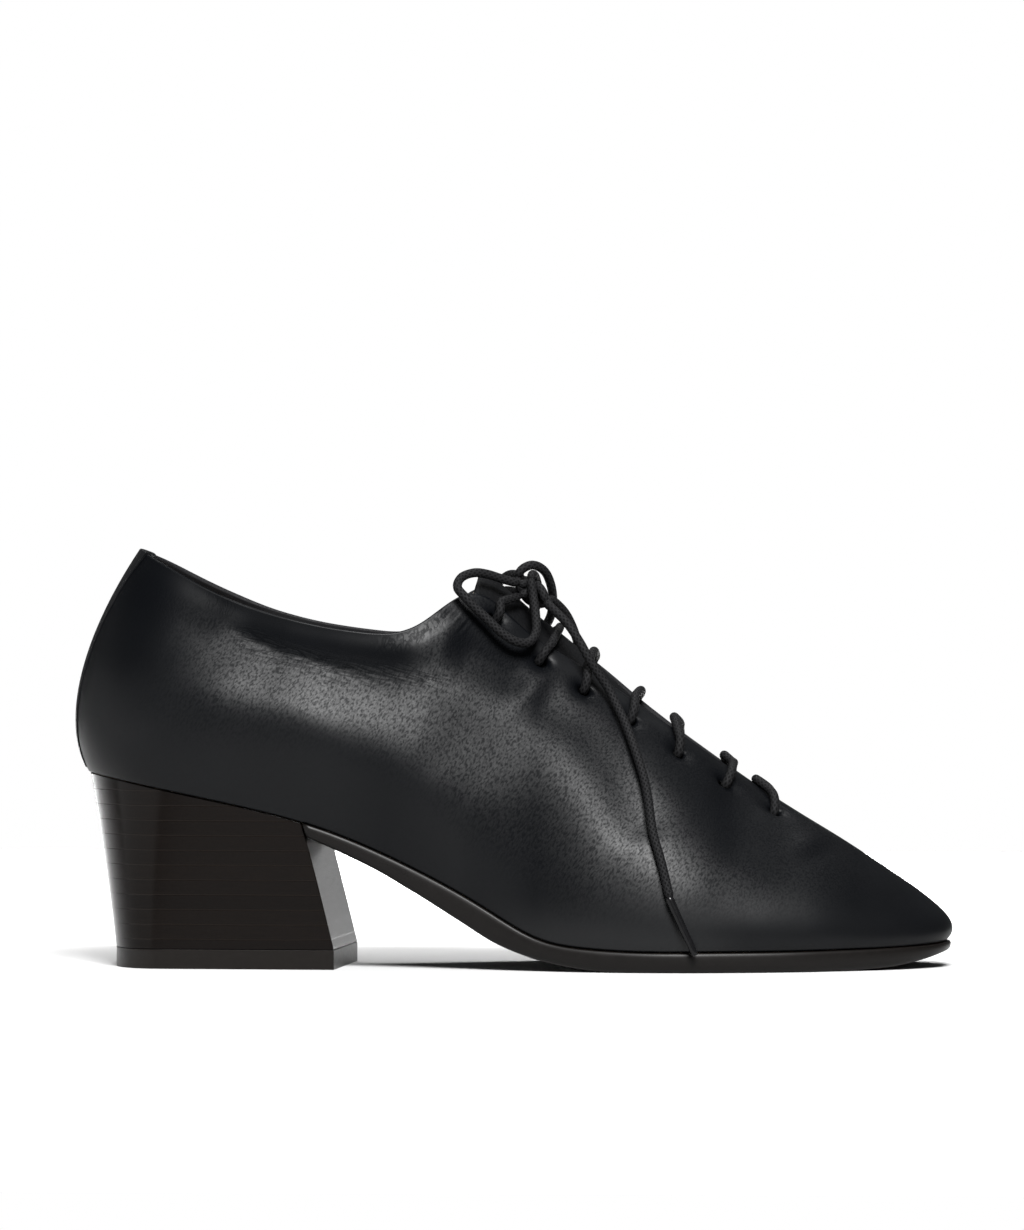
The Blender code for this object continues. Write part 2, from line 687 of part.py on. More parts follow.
OUTER_AGLET = [(46.5, -41.15, 20.4), (50.4, -42.3, 11.9), (53.6, -42.9, 5.2)]
INNER_END = [
    (10.4, 3.4, 104.6), (12.4, 6.8, 103.0), (14.9, 9.8, 100.0), (17.0, 12.4, 95.4), (18.2, 15.2, 90.4),
    (18.1, 19.5, 84.2), (18.0, 23.8, 76.4), (18.7, 27.1, 68.3), (20.3, 29.8, 60.0), (22.1, 32.1, 51.5),
    (24.3, 34.0, 43.0), (27.5, 36.0, 34.8), (31.1, 37.6, 26.4),
]
INNER_AGLET = [(31.25, 37.7, 25.9), (34.2, 39.0, 17.7), (36.5, 39.5, 10.6)]


def build_knot():
    bm = bmesh.new()
    bmesh.ops.create_icosphere(bm, subdivisions=2, radius=1.0)
    for vert in bm.verts:
        vert.co = in_frame(np.array(KNOT_CENTRE) + np.array(KNOT_SIZE) * np.array(vert.co))
    return new_object("lace_knot", bm, "lace_cord")


def build_bow():
    build_knot()
    top = EYELET_COUNT - 1
    build_cord("lace_lead_outer", smooth_line(bar_half(OUTER, top) + OUTER_LEAD_TO, 2), LACE_RADIUS)
    build_cord("lace_lead_inner", smooth_line(bar_half(INNER, top) + INNER_LEAD_TO, 2), LACE_RADIUS)
    build_cord("lace_loop_outer", smooth_line(OUTER_LOOP, 2), LACE_RADIUS)
    build_cord("lace_loop_inner", smooth_line(INNER_LOOP, 2), LACE_RADIUS)
    build_cord("lace_end_outer", smooth_line(OUTER_END, 2), LACE_RADIUS)
    build_cord("lace_end_inner", smooth_line(INNER_END, 2), LACE_RADIUS)
    build_cord("aglet_outer", smooth_line(OUTER_AGLET, 1), AGLET_RADIUS, "aglet_plastic", AGLET_TAPER)
    build_cord("aglet_inner", smooth_line(INNER_AGLET, 1), AGLET_RADIUS, "aglet_plastic", AGLET_TAPER)


for leftover in list(bpy.data.objects):
    bpy.data.objects.remove(leftover)
build_upper()
build_outsole()
build_insole()
build_heel()
build_top_lift()
build_tongue()
build_back_strip()
build_lace_bars()
build_bow()
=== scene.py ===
"""Looks of the heeled derby shoe, dressed over its solids.

Frame: +X to the toe, -Y to the outer side, +Z up. Tables are in millimetres, meshes in metres.
"""
import math
from collections import namedtuple

import bmesh
import bpy
import numpy as np
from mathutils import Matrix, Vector, noise


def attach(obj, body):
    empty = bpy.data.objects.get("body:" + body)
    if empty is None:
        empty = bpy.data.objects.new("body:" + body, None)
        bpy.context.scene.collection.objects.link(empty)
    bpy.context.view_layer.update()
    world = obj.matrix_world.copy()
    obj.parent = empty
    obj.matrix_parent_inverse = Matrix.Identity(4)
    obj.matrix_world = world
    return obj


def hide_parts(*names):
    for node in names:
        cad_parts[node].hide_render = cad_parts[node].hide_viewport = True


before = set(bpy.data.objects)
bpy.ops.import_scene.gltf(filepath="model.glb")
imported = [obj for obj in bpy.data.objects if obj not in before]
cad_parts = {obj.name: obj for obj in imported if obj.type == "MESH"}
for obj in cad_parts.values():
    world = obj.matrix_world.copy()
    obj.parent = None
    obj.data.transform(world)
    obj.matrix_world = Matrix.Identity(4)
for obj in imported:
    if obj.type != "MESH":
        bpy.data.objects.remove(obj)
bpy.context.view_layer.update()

MM = 0.001
CENTRE = np.array([0.62, 0.78, 0.0])
OUTER = -1
INNER = 1

# Sizes of the shoe, in millimetres
INSTEP_HEIGHT = 106.6
BACK_HEIGHT = 118.4
SEAT_HEIGHT = 55.2
WALL = 1.8
GAP = 0.3
SOLE_STEP = 0.9
INSOLE_THICK = 2.0
LIFT_HEIGHT = 5.5
TONGUE_THICK = 1.4
STRIP_THICK = 0.7
STRIP_HALF_TOP = 8.5
STRIP_HALF_FOOT = 5.5
LACE_RADIUS = 1.3
AGLET_RADIUS = 1.25
AGLET_TAPER = 0.75
AGLET_GRIP = 1.2
EYELET_RADIUS = 1.6
EYELET_COUNT = 7
EYELET_FIRST_X = 72.6
EYELET_PITCH_X = 12.75
EYELET_INSET_FIRST = 12.6
EYELET_INSET_TOP = 4.9
HEEL_TURN = math.radians(3.8)
HEEL_BREAST_X = -56.9
BREAST_LEAN = 0.3
HEEL_BASE_MIDDLE = (-47.9, -3.6)
HEEL_BASE_LENGTH = 65.4
HEEL_BASE_WIDTH = 49.0
HEEL_BASE_ROUND = 16.5


# Camera, floor and light

CAMERA_TURN = math.radians(3.0)
CAMERA_REACH = 2.4
CAMERA_HEIGHT = 0.130
CAMERA_TILT = 0.01258
CAMERA_LENS = 246.7
ROOM_LIGHT = 0.11
BACKDROP_LIGHT = 1.0
FLOOR_HALF = 0.8
FLOOR_TONE = 0.46


def set_camera():
    data = bpy.data.cameras.new("camera")
    data.lens = CAMERA_LENS
    data.sensor_width = 36.0
    data.clip_end = 20.0
    camera = bpy.data.objects.new("camera", data)
    across, away = CAMERA_REACH * math.sin(CAMERA_TURN), CAMERA_REACH * math.cos(CAMERA_TURN)
    camera.location = (across, -away, CAMERA_HEIGHT)
    camera.rotation_euler = (math.pi / 2 - CAMERA_TILT, 0.0, CAMERA_TURN)
    bpy.context.collection.objects.link(camera)
    bpy.context.scene.camera = camera


def add_softbox(name, place, aim, width, height, watts, spread_angle=180.0):
    data = bpy.data.lights.new(name, "AREA")
    data.shape = "RECTANGLE"
    data.size = width
    data.size_y = height
    data.energy = watts
    data.spread = math.radians(spread_angle)
    light = bpy.data.objects.new(name, data)
    light.visible_camera = False
    light.location = place
    light.rotation_euler = (Vector(aim) - Vector(place)).to_track_quat("-Z", "Y").to_euler()
    bpy.context.collection.objects.link(light)


def light_studio():
    bpy.context.scene.view_settings.view_transform = "Standard"
    middle = (0.0, 0.0, 0.06)
    add_softbox("front_softbox", (0.21, -1.060, 1.175), middle, 0.62, 0.52, 72.0)
    add_softbox("top_softbox", (-0.25, 0.35, 1.5), middle, 1.0, 0.6, 5.0)
    add_softbox("heel_panel", (-1.14, -0.51, 0.12), (-0.1, 0.0, 0.06), 1.3, 0.4, 2.6)
    add_softbox("back_panel", (-1.35, 0.35, 0.30), (-0.1, 0.0, 0.06), 0.8, 0.6, 1.0)
    add_softbox("breast_card", (0.20, 1.00, 0.08), (-0.05, 0.0, 0.03), 0.25, 0.16, 0.075)
    add_softbox("floor_light", (0.0, 0.62, 0.9), (0.0, 0.62, 0.0), 1.6, 0.5, 30.0, 70.0)
    world = bpy.data.worlds.new("studio")
    world.use_nodes = True
    tree = world.node_tree
    seen = shader_node(tree, "ShaderNodeLightPath").outputs["Is Camera Ray"]
    strength = value_range(tree, seen, ROOM_LIGHT, BACKDROP_LIGHT)
    feed(tree, tree.nodes["Background"], {"Color": opaque((1.0, 1.0, 1.0)), "Strength": strength})
    bpy.context.scene.world = world


def lay_floor():
    bm = bmesh.new()
    bmesh.ops.create_grid(bm, x_segments=1, y_segments=1, size=FLOOR_HALF)
    paper = new_material("white_paper", (FLOOR_TONE, FLOOR_TONE, FLOOR_TONE), 0.9, 0.0)[0]
    new_object("floor", bm, [paper])


# The last, from the back of the heel to the tip of the toe, as in the solids

Section = namedtuple(
    "Section",
    "name foot_x outer_y inner_y foot_z top_x top_outer_y top_inner_y top_z inner_rise "
    "low_out low_up top_out top_down slope",
)
SECTIONS = [Section(*row) for row in (
    ("heel back", -121.9, 3.0, 3.0, SEAT_HEIGHT, -107.0, 2.6, 2.6, BACK_HEIGHT, 0.0,
     8.3, 14.5, 16.2, 24.2, 0.0),
    ("heel round", -116.4, -12.8, 18.4, SEAT_HEIGHT - 0.8, -102.7, -8.6, 13.2, BACK_HEIGHT - 2.0, 0.0,
     7.8, 14.8, 13.5, 23.5, 0.0),
    ("heel side", -103.0, -23.8, 26.0, SEAT_HEIGHT - 3.4, -93.0, -16.4, 19.8, BACK_HEIGHT - 7.1, 0.3,
     6.4, 14.8, 9.0, 22.0, 0.0),
    ("heel middle", -82.5, -27.6, 25.9, SEAT_HEIGHT - 7.6, -77.0, -22.2, 23.2, BACK_HEIGHT - 14.5, 0.3,
     5.4, 14.5, 5.5, 20.0, 0.0),
    ("breast", -60.0, -28.9, 23.2, SEAT_HEIGHT - 13.0, -58.5, -25.6, 24.2, BACK_HEIGHT - 20.0, 0.0,
     5.0, 14.5, 4.0, 18.0, 0.0),
    ("rear waist", -40.0, -29.2, 20.9, 34.9, -41.0, -26.4, 24.2, BACK_HEIGHT - 22.8, 0.0,
     4.6, 16.0, 4.0, 18.0, 0.0),
    ("waist", -22.0, -29.8, 20.8, 26.3, -25.5, -22.6, 21.6, INSTEP_HEIGHT - 8.7, -0.4,
     4.2, 18.0, 7.0, 21.0, 0.0),
    ("throat corner", -7.0, -31.2, 22.6, 17.9, -10.8, -13.0, 15.6, INSTEP_HEIGHT, 1.1,
     4.2, 20.0, 12.0, 24.0, 0.25),
    ("facing top", 7.0, -34.0, 26.2, 9.9, 3.0, -9.6, 13.0, INSTEP_HEIGHT - 10.2, 4.2,
     4.6, 20.0, 15.0, 19.0, 0.5),
    ("facing", 21.0, -37.4, 30.6, 6.8, 19.0, -7.6, 11.6, INSTEP_HEIGHT - 20.6, 3.2,
     5.0, 19.0, 17.5, 14.5, 0.6),
    ("facing middle", 38.0, -39.9, 35.6, 5.9, 36.5, -5.2, 10.0, INSTEP_HEIGHT - 32.4, 0.8,
     5.2, 17.5, 19.0, 10.0, 0.66),
    ("ball", 55.0, -39.6, 38.6, 5.9, 54.5, -2.6, 8.0, INSTEP_HEIGHT - 45.2, 0.0,
     5.0, 15.5, 19.5, 5.5, 0.7),
    ("vamp point", 76.0, -35.4, 37.6, 6.0, 76.5, 3.2, 3.2, 46.5, 0.0,
     4.6, 13.0, 19.0, 0.0, 0.62),
    ("vamp", 92.0, -28.8, 34.0, 6.2, 91.0, 3.6, 3.6, 37.6, 0.0,
     3.9, 10.5, 17.0, 0.0, 0.62),
    ("toe side", 106.4, -20.8, 28.6, 6.5, 102.0, 4.0, 4.0, 30.5, 0.0,
     3.3, 8.0, 14.0, 0.0, 0.67),
    ("toe corner", 116.6, -12.6, 21.8, 6.9, 109.0, 4.3, 4.3, 25.8, 0.0,
     3.2, 6.0, 11.0, 0.0, 0.70),
    ("toe front", 121.9, -4.6, 13.8, 7.3, 112.4, 4.5, 4.5, 23.5, 0.0,
     3.9, 4.6, 9.6, 0.0, 0.72),
    ("tip", 123.1, 4.6, 4.6, 7.5, 113.6, 4.6, 4.6, 22.7, 0.0,
     4.3, 4.2, 9.4, 0.0, 0.73),
)]
LAST_ROW = len(SECTIONS) - 1
VAMP_ROW = [s.name for s in SECTIONS].index("vamp point")
CORNER_ROW = [s.name for s in SECTIONS].index("throat corner")

# The underside of the sole from breast to tip
SolePoint = namedtuple("SolePoint", "x z")
SOLE_BOTTOM = [SolePoint(*row) for row in (
    (-62.0, 38.9), (-48.0, 32.9), (-37.0, 27.7), (-25.5, 21.2),
    (-14.0, 14.0), (-3.0, 7.4), (8.5, 3.2), (20.0, 0.9),
    (30.0, 0.0), (60.0, 0.0), (92.0, 0.0), (106.0, 0.7),
    (116.0, 2.6), (124.2, 5.4), (127.0, 6.6),
)]


def spread(first, last, count):
    return [first + (last - first) * i / (count - 1) for i in range(count)]


def unit(vectors):
    return vectors / np.linalg.norm(vectors, axis=-1, keepdims=True)


def gone_along(line):
    """Length gone at each point of a line."""
    return np.concatenate([[0.0], np.cumsum(np.linalg.norm(np.diff(line, axis=0), axis=1))])


def spline_weights(t):
    """Weights of a uniform cubic B-spline at t within one span, and their slopes."""
    value = ((1 - t) ** 3, 3 * t ** 3 - 6 * t ** 2 + 4, -3 * t ** 3 + 3 * t ** 2 + 3 * t + 1, t ** 3)
    slope = (-3 * (1 - t) ** 2, 9 * t ** 2 - 12 * t, -9 * t ** 2 + 6 * t + 3, 3 * t ** 2)
    return np.array(value) / 6, np.array(slope) / 6


def section_ring():
    """All sections as one closed ring: outer side to the toe, inner side back to the heel."""
    outer = [[s.foot_x, s.outer_y, s.foot_z, s.top_x, s.top_outer_y, s.top_z, *s[10:]] for s in SECTIONS]
    inner = [[s.foot_x, s.inner_y, s.foot_z, s.top_x, s.top_inner_y, s.top_z + s.inner_rise, *s[10:]]
             for s in SECTIONS[-2:0:-1]]
    rows = np.array(outer + inner)
    count = len(rows)
    system = np.zeros((count, count))
    for i in range(count):
        system[i, i] = 4 / 6
        system[i, i - 1] = 1 / 6
        system[i, (i + 1) % count] = 1 / 6
    return np.linalg.solve(system, rows)


RING = section_ring()


def ring_values(side, u):
    """Section values at u rows from the heel back, with their slopes along u."""
    place = -side * u
    first = math.floor(place)
    value, slope = spline_weights(place - first)
    rows = RING[[(first - 1 + k) % len(RING) for k in range(4)]]
    return value @ rows, (slope @ rows) * -side


def outline_normal(side, u):
    """Outward direction of the foot outline in plan."""
    _, slope = ring_values(side, u)
    turn = np.array([slope[1], -slope[0]]) * -side
    return unit(turn)


def foot_point(side, u, out=0.0, up=0.0):
    """Point on the line where wall meets sole, moved out in plan and up."""
    value, _ = ring_values(side, u)
    nx, ny = outline_normal(side, u)
    return np.array([value[0] + nx * out, value[1] + ny * out, value[2] + up])


def bezier(points, t):
    """Point at t on the curve with four control points."""
    a, b, c, d = points
    w = 1 - t
    return w ** 3 * a + 3 * w * w * t * b + 3 * w * t * t * c + t ** 3 * d


def wall_curve(side, u):
    """The four control points of the wall's curve at u, from sole to top edge."""
    value, _ = ring_values(side, u)
    foot = value[0:3]
    top = value[3:6]
    if u >= VAMP_ROW:
        top = (top + ring_values(-side, u)[0][3:6]) / 2
    low_out, low_up, top_out, top_down, slope = value[6:]
    nx, ny = outline_normal(side, u)
    low = foot + np.array([nx * low_out, ny * low_out, low_up])
    high = top + np.array([nx * top_out, ny * top_out, -nx * top_out * slope - top_down])
    return foot, low, high, top


def wall_point(side, u, v):
    """Point on the outside of the upper: v is 0 at the sole and 1 at the top edge."""
    return bezier(wall_curve(side, u), v)


def wall_normal(side, u, v):
    """Outward direction of the upper's wall."""
    step = 0.01
    along = wall_point(side, min(u + step, LAST_ROW), v) - wall_point(side, max(u - step, 0), v)
    up = wall_point(side, u, min(v + step, 1)) - wall_point(side, u, max(v - step, 0))
    normal = np.cross(along, up) * -side
    return unit(normal)


def off_wall(side, u, v, out):
    """Point a distance out of the upper's wall, or inside it where the distance is below zero."""
    return wall_point(side, u, v) + out * wall_normal(side, u, v)


def row_where(test, low):
    """The place u past low where the test turns false."""
    high = float(LAST_ROW)
    while high - low > 1e-5:
        middle = (low + high) / 2
        if test(middle):
            low = middle
        else:
            high = middle
    return low


def row_at_foot_x(side, x):
    return row_where(lambda u: ring_values(side, u)[0][0] < x, 0.0)


def row_at_top_x(side, x):
    return row_where(lambda u: wall_curve(side, u)[3][0] < x, CORNER_ROW - 0.5)


def height_below_edge(side, u, distance):
    """The v that lies the given distance below the top edge, along the wall."""
    heights = np.linspace(1.0, 0.0, 401)
    points = bezier(wall_curve(side, u), heights[:, None])
    gone = gone_along(points)
    return float(np.interp(distance, gone, heights))


def eased(rows, x):
    """Height at x through the rows, without overshoot, flat where the rows are flat."""
    xs = [r.x for r in rows]
    zs = [r.z for r in rows]
    slopes = [(zs[i + 1] - zs[i]) / (xs[i + 1] - xs[i]) for i in range(len(rows) - 1)]
    tangents = [slopes[0]]
    for a, b in zip(slopes, slopes[1:]):
        tangents.append(0.0 if a * b <= 0 else 2 * a * b / (a + b))
    tangents.append(slopes[-1])
    i = min(max(int(np.searchsorted(xs, x)) - 1, 0), len(rows) - 2)
    step = xs[i + 1] - xs[i]
    t = (x - xs[i]) / step
    return ((1 + 2 * t) * (1 - t) ** 2 * zs[i] + t * (1 - t) ** 2 * step * tangents[i]
            + t * t * (3 - 2 * t) * zs[i + 1] + t * t * (t - 1) * step * tangents[i + 1])


EYELET_X = [EYELET_FIRST_X - EYELET_PITCH_X * i for i in range(EYELET_COUNT)]
EYELET_INSETS = spread(EYELET_INSET_FIRST, EYELET_INSET_TOP, EYELET_COUNT)


def eyelet(side, index):
    """Place (u, v) of an eyelet, counted up from the vamp."""
    u = row_at_top_x(side, EYELET_X[index])
    return u, height_below_edge(side, u, EYELET_INSETS[index])


# Folds of the leather: troughs where the height is below zero, ridges above it, in millimetres.
# Each has a width above and below its line and eases in from both ends. Points are places along
# the shoe and up from the floor, seen from that side.
Fold = namedtuple("Fold", "name side height above below ease points")
COLLAR_CREASE = [
    (-100.0, 107.0), (-91.0, 103.2), (-82.8, 98.9), (-73.6, 94.3), (-64.3, 90.1), (-55.8, 88.3),
    (-48.9, 86.0), (-38.0, 84.3), (-22.6, 83.6), (-12.0, 80.0),
]
COLLAR_BAND = [(-79.7, 100.0), (-69.0, 96.2), (-56.4, 93.1), (-43.9, 91.2), (-31.3, 89.3), (-21.9, 89.9)]
INNER_CREASE = [(-84.0, 99.5), (-68.0, 92.4), (-52.0, 87.9), (-36.0, 85.0), (-22.0, 84.4)]
FOLDS = [
    Fold("collar trough", OUTER, -2.8, 7.5, 12.0, 25.0, COLLAR_CREASE),
    Fold("collar crease", OUTER, -0.45, 1.7, 1.9, 14.0, COLLAR_CREASE[2:8]),
    Fold("quarter swell", OUTER, 2.0, 12.0, 12.0, 28.0,
         [(-106.0, 80.0), (-98.0, 78.0), (-84.0, 75.5), (-69.5, 72.1), (-49.8, 66.0), (-30.0, 57.0),
          (-13.0, 45.0), (0.0, 33.0)]),
    Fold("hollow below the bow", OUTER, -1.6, 6.0, 6.5, 9.0,
         [(-19.0, 92.0), (-12.0, 90.0), (-5.0, 86.5), (2.0, 83.0), (9.0, 79.5)]),
    Fold("facing fold", OUTER, -1.3, 8.0, 7.5, 9.0,
         [(4.0, 79.0), (8.0, 76.3), (22.0, 69.3), (31.9, 56.6), (37.5, 42.5), (39.5, 34.0)]),
    Fold("vamp trough", OUTER, -0.6, 5.0, 5.0, 7.0,
         [(61.5, 54.0), (62.3, 50.0), (64.3, 42.6), (65.7, 34.1), (66.0, 28.0)]),
    Fold("vamp swell", OUTER, 0.9, 6.0, 6.0, 5.0,
         [(74.5, 50.0), (78.4, 44.5), (83.0, 38.0), (86.0, 31.0)]),
    Fold("inner collar trough", INNER, -2.2, 7.5, 12.0, 16.0, INNER_CREASE),
    Fold("inner quarter swell", INNER, 2.0, 12.0, 12.0, 10.0,
         [(-92.0, 77.0), (-80.0, 74.5), (-60.0, 70.0), (-36.0, 63.0), (-26.0, 59.0)]),
    Fold("inner hollow", INNER, -1.6, 8.0, 7.0, 8.0,
         [(-16.0, 88.0), (-6.0, 83.5), (4.0, 80.5), (12.0, 79.0)]),
    Fold("inner instep fold", INNER, -1.0, 6.5, 6.5, 9.0,
         [(4.0, 80.0), (18.0, 70.0), (28.0, 58.0), (34.0, 44.0), (36.0, 36.0)]),
    Fold("inner instep swell", INNER, 0.8, 9.0, 9.0, 8.0,
         [(-6.0, 68.0), (0.0, 64.0), (16.0, 52.0), (28.0, 36.0), (31.0, 28.0)]),
]
EYELET_DENT = 1.6
EYELET_DENT_WIDTH = 2.9
COLLAR_ROLL = 1.3
COLLAR_ROLL_WIDTH = 4.6
RIPPLE = 0.12
RIPPLE_SPACING = 11.0


def line_places(x, z, points):
    """Distance of each place (x, z) to a line, whether it lies above it, and how far along it."""
    nearest = np.full(x.shape, 1e9)
    above = np.zeros(x.shape, bool)
    along = np.zeros(x.shape)
    gone = 0.0
    for (ax, az), (bx, bz) in zip(points, points[1:]):
        dx, dz = bx - ax, bz - az
        reach = math.hypot(dx, dz)
        t = np.clip(((x - ax) * dx + (z - az) * dz) / reach ** 2, 0, 1)
        away = np.hypot(x - ax - t * dx, z - az - t * dz)
        closer = away < nearest
        nearest = np.where(closer, away, nearest)
        above = np.where(closer, dx * (z - az) > dz * (x - ax), above)
        along = np.where(closer, gone + t * reach, along)
        gone += reach
    return nearest, above, along, gone


def near_line(points, line, above, below, ease):
    """1 on a line seen from the side, falling off over the widths above and below it and at its ends."""
    away, over, along, length = line_places(points[..., 0], points[..., 2], line)
    share = np.exp(-(away / np.where(over, above, below)) ** 2)
    return share * fade(0.0, ease, along) * fade(0.0, ease, length - along)


def fade(low, high, value):
    """Rises smoothly from 0 at low to 1 at high."""
    t = np.clip((value - low) / (high - low), 0, 1)
    return t * t * (3 - 2 * t)


def between(low, full, fading, end, value):
    """Rises smoothly from 0 at low to 1 at full, and falls from 1 at fading to 0 at the end."""
    return fade(low, full, value) * (1 - fade(fading, end, value))


def near_eyelets(side, points, width):
    """For each eyelet of a side, 1 at its middle, falling off over the width."""
    for index in range(EYELET_COUNT):
        centre = wall_point(side, *eyelet(side, index)) + CENTRE
        yield np.exp(-(np.linalg.norm(points - centre, axis=-1) / width) ** 2)


def fold_height(side, points):
    """Height of the folds over the smooth last at points in the part's frame."""
    height = np.zeros(points.shape[:-1])
    for fold in FOLDS:
        if fold.side == side:
            height += fold.height * near_line(points, fold.points, fold.above, fold.below, fold.ease)
    for near in near_eyelets(side, points, EYELET_DENT_WIDTH):
        height -= EYELET_DENT * near
    ripple = [noise.noise(Vector(p) / RIPPLE_SPACING) for p in points.reshape(-1, 3)]
    return height + RIPPLE * np.array(ripple).reshape(height.shape)


# Meshes

def grid_mesh(points):
    """A sheet whose corners lie on the points, an array of columns, rows and places in millimetres."""
    columns, rows = points.shape[:2]
    bm = bmesh.new()
    bm.loops.layers.uv.new("UVMap")
    bmesh.ops.create_grid(bm, x_segments=columns - 1, y_segments=rows - 1, size=1.0, calc_uvs=True)
    for vert in bm.verts:
        i = round((vert.co.x + 1) / 2 * (columns - 1))
        j = round((vert.co.y + 1) / 2 * (rows - 1))
        vert.co = Vector(points[i, j]) * MM
    return bm


def new_object(name, bm, materials):
    mesh = bpy.data.meshes.new(name)
    bm.to_mesh(mesh)
    bm.free()
    for material in materials:
        mesh.materials.append(material)
    obj = bpy.data.objects.new(name, mesh)
    bpy.context.collection.objects.link(obj)
    return obj


def finish_piece(name, bm, materials, replaced):
    """A shaded object from bm that rides on the shoe and stands for the named solids."""
    obj = new_object(name, bm, materials)
    obj.data.shade_smooth()
    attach(obj, "root")
    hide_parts(*replaced)
    return obj


def add_wall(obj, thickness, offset):
    """Gives a sheet its thickness in millimetres, inward where the offset is -1."""
    wall = obj.modifiers.new("wall", "SOLIDIFY")
    wall.thickness = thickness * MM
    wall.offset = offset
    return wall


def weld(bm, distance=0.002):
    bmesh.ops.remove_doubles(bm, verts=bm.verts, dist=distance * MM)


def close_ends(bm):
    """Welds a lofted sheet and fills its open ends."""
    weld(bm)
    bmesh.ops.holes_fill(bm, edges=[e for e in bm.edges if e.is_boundary], sides=0)
    bmesh.ops.recalc_face_normals(bm, faces=bm.faces)
    return bm


def grid_normals(points, closed):
    """Directions square to a sheet of points, by its neighbours along and across."""
    if closed:
        ring = points[:-1]
        along = np.roll(ring, -1, axis=0) - np.roll(ring, 1, axis=0)
        along = np.concatenate([along, along[:1]])
    else:
        along = np.gradient(points, axis=0)
    normals = np.cross(along, np.gradient(points, axis=1))
    return unit(normals)


# Shader parts

def feed(tree, node, inputs):
    """Sets a node's inputs, each from a socket or a value."""
    for key, value in dict(inputs).items():
        if isinstance(value, bpy.types.NodeSocket):
            tree.links.new(value, node.inputs[key])
        else:
            node.inputs[key].default_value = value


def shader_node(tree, kind, inputs=(), **settings):
    made = tree.nodes.new(kind)
    for key, value in settings.items():
        setattr(made, key, value)
    feed(tree, made, inputs)
    return made


def math_step(tree, operation, *values):
    """One step of arithmetic on sockets and numbers."""
    return shader_node(tree, "ShaderNodeMath", enumerate(values), operation=operation).outputs[0]


def scaled(tree, value, factor):
    return math_step(tree, "MULTIPLY", value, factor)


def value_range(tree, value, low, high, from_low=0.0, from_high=1.0):
    """Maps a value socket to the range from low to high."""
    ranges = {"Value": value, "From Min": from_low, "From Max": from_high, "To Min": low, "To Max": high}
    return shader_node(tree, "ShaderNodeMapRange", ranges).outputs["Result"]


def smooth_rise(tree, value, end):
    """Rises smoothly from 0 at 0 to 1 at the end."""
    return shader_node(tree, "ShaderNodeMapRange", {"Value": value, "From Max": end},
                       interpolation_type="SMOOTHSTEP").outputs["Result"]


def cloud(tree, place, scale, detail, roughness=0.5, distortion=0.0):
    """Noise about the place, from 0 to 1."""
    return shader_node(tree, "ShaderNodeTexNoise", {
        "Vector": place, "Scale": scale, "Detail": detail, "Roughness": roughness,
        "Distortion": distortion}).outputs["Fac"]


def laid_place(tree, place, turn, lengths):
    """The place turned about the shoe's side by degrees, in units of three lengths."""
    return shader_node(tree, "ShaderNodeMapping", {
        "Vector": place, "Rotation": (0.0, math.radians(turn), 0.0), "Scale": lengths},
        vector_type="TEXTURE").outputs["Vector"]


def opaque(colour):
    return (*colour, 1.0)


def colour_mix(tree, factor, first, second):
    """Blends two colours by a factor socket."""
    return shader_node(tree, "ShaderNodeMix", {0: factor, 6: first, 7: second}, data_type="RGBA").outputs[2]


def object_place(tree):
    return shader_node(tree, "ShaderNodeTexCoord").outputs["Object"]


def attribute(tree, name):
    return shader_node(tree, "ShaderNodeAttribute", attribute_name=name).outputs["Fac"]


def new_material(name, colour, roughness, gloss):
    material = bpy.data.materials.new(name)
    material.use_nodes = True
    tree = material.node_tree
    shader = tree.nodes["Principled BSDF"]
    feed(tree, shader, {"Base Color": opaque(colour), "Roughness": roughness, "Specular IOR Level": gloss})
    return material, tree, shader


def finish_shader(tree, shader, colour, roughness, height, depth, strength):
    """Feeds a shader its colour, its roughness and a bump of the given depth in millimetres."""
    relief = {"Height": height, "Distance": depth * MM, "Strength": strength}
    bump = shader_node(tree, "ShaderNodeBump", relief)
    feed(tree, shader, {"Base Color": colour, "Roughness": roughness, "Normal": bump.outputs["Normal"]})


# Directions of the grain's furrows about the shoe's side, in degrees, and how far they are drawn out
GRAIN_LAYS = [(-60.0, 2.5), (20.0, 1.5)]
FURROW_LEVELS = (0.30, 0.64)
SECOND_LAY = 0.4
PORE_SCALE = 1600.0


def grain(tree, place, cell):
    """Height and furrows of leather grain: two lays of soft furrows a cell apart, with pores between."""
    sized = shader_node(tree, "ShaderNodeVectorMath", {0: place, "Scale": 1 / (cell * MM)}, operation="SCALE")
    lays = []
    for turn, drawn_out in GRAIN_LAYS:
        laid = laid_place(tree, sized.outputs[0], turn, (drawn_out, 1.0, 1.0))
        lays.append(value_range(tree, cloud(tree, laid, 1.0, 0.4, 0.5, 0.3), 1.0, 0.0, *FURROW_LEVELS))
    furrow = math_step(tree, "MAXIMUM", lays[0], scaled(tree, lays[1], SECOND_LAY))
    pores = scaled(tree, cloud(tree, place, PORE_SCALE, 3.0, 0.6), 0.5)
    return math_step(tree, "SUBTRACT", pores, furrow), furrow


def wrinkles(tree, place, turn, length, width):
    """Height of fine wrinkles: grooves of the given length and width, turned about the shoe's side."""
    laid = laid_place(tree, place, turn, (length * MM, width * MM, width * MM))
    level = value_range(tree, cloud(tree, laid, 1.0, 2.0, 0.55, 0.4), -0.5, 0.5)
    return smooth_rise(tree, math_step(tree, "PINGPONG", level, 0.5), 0.12)


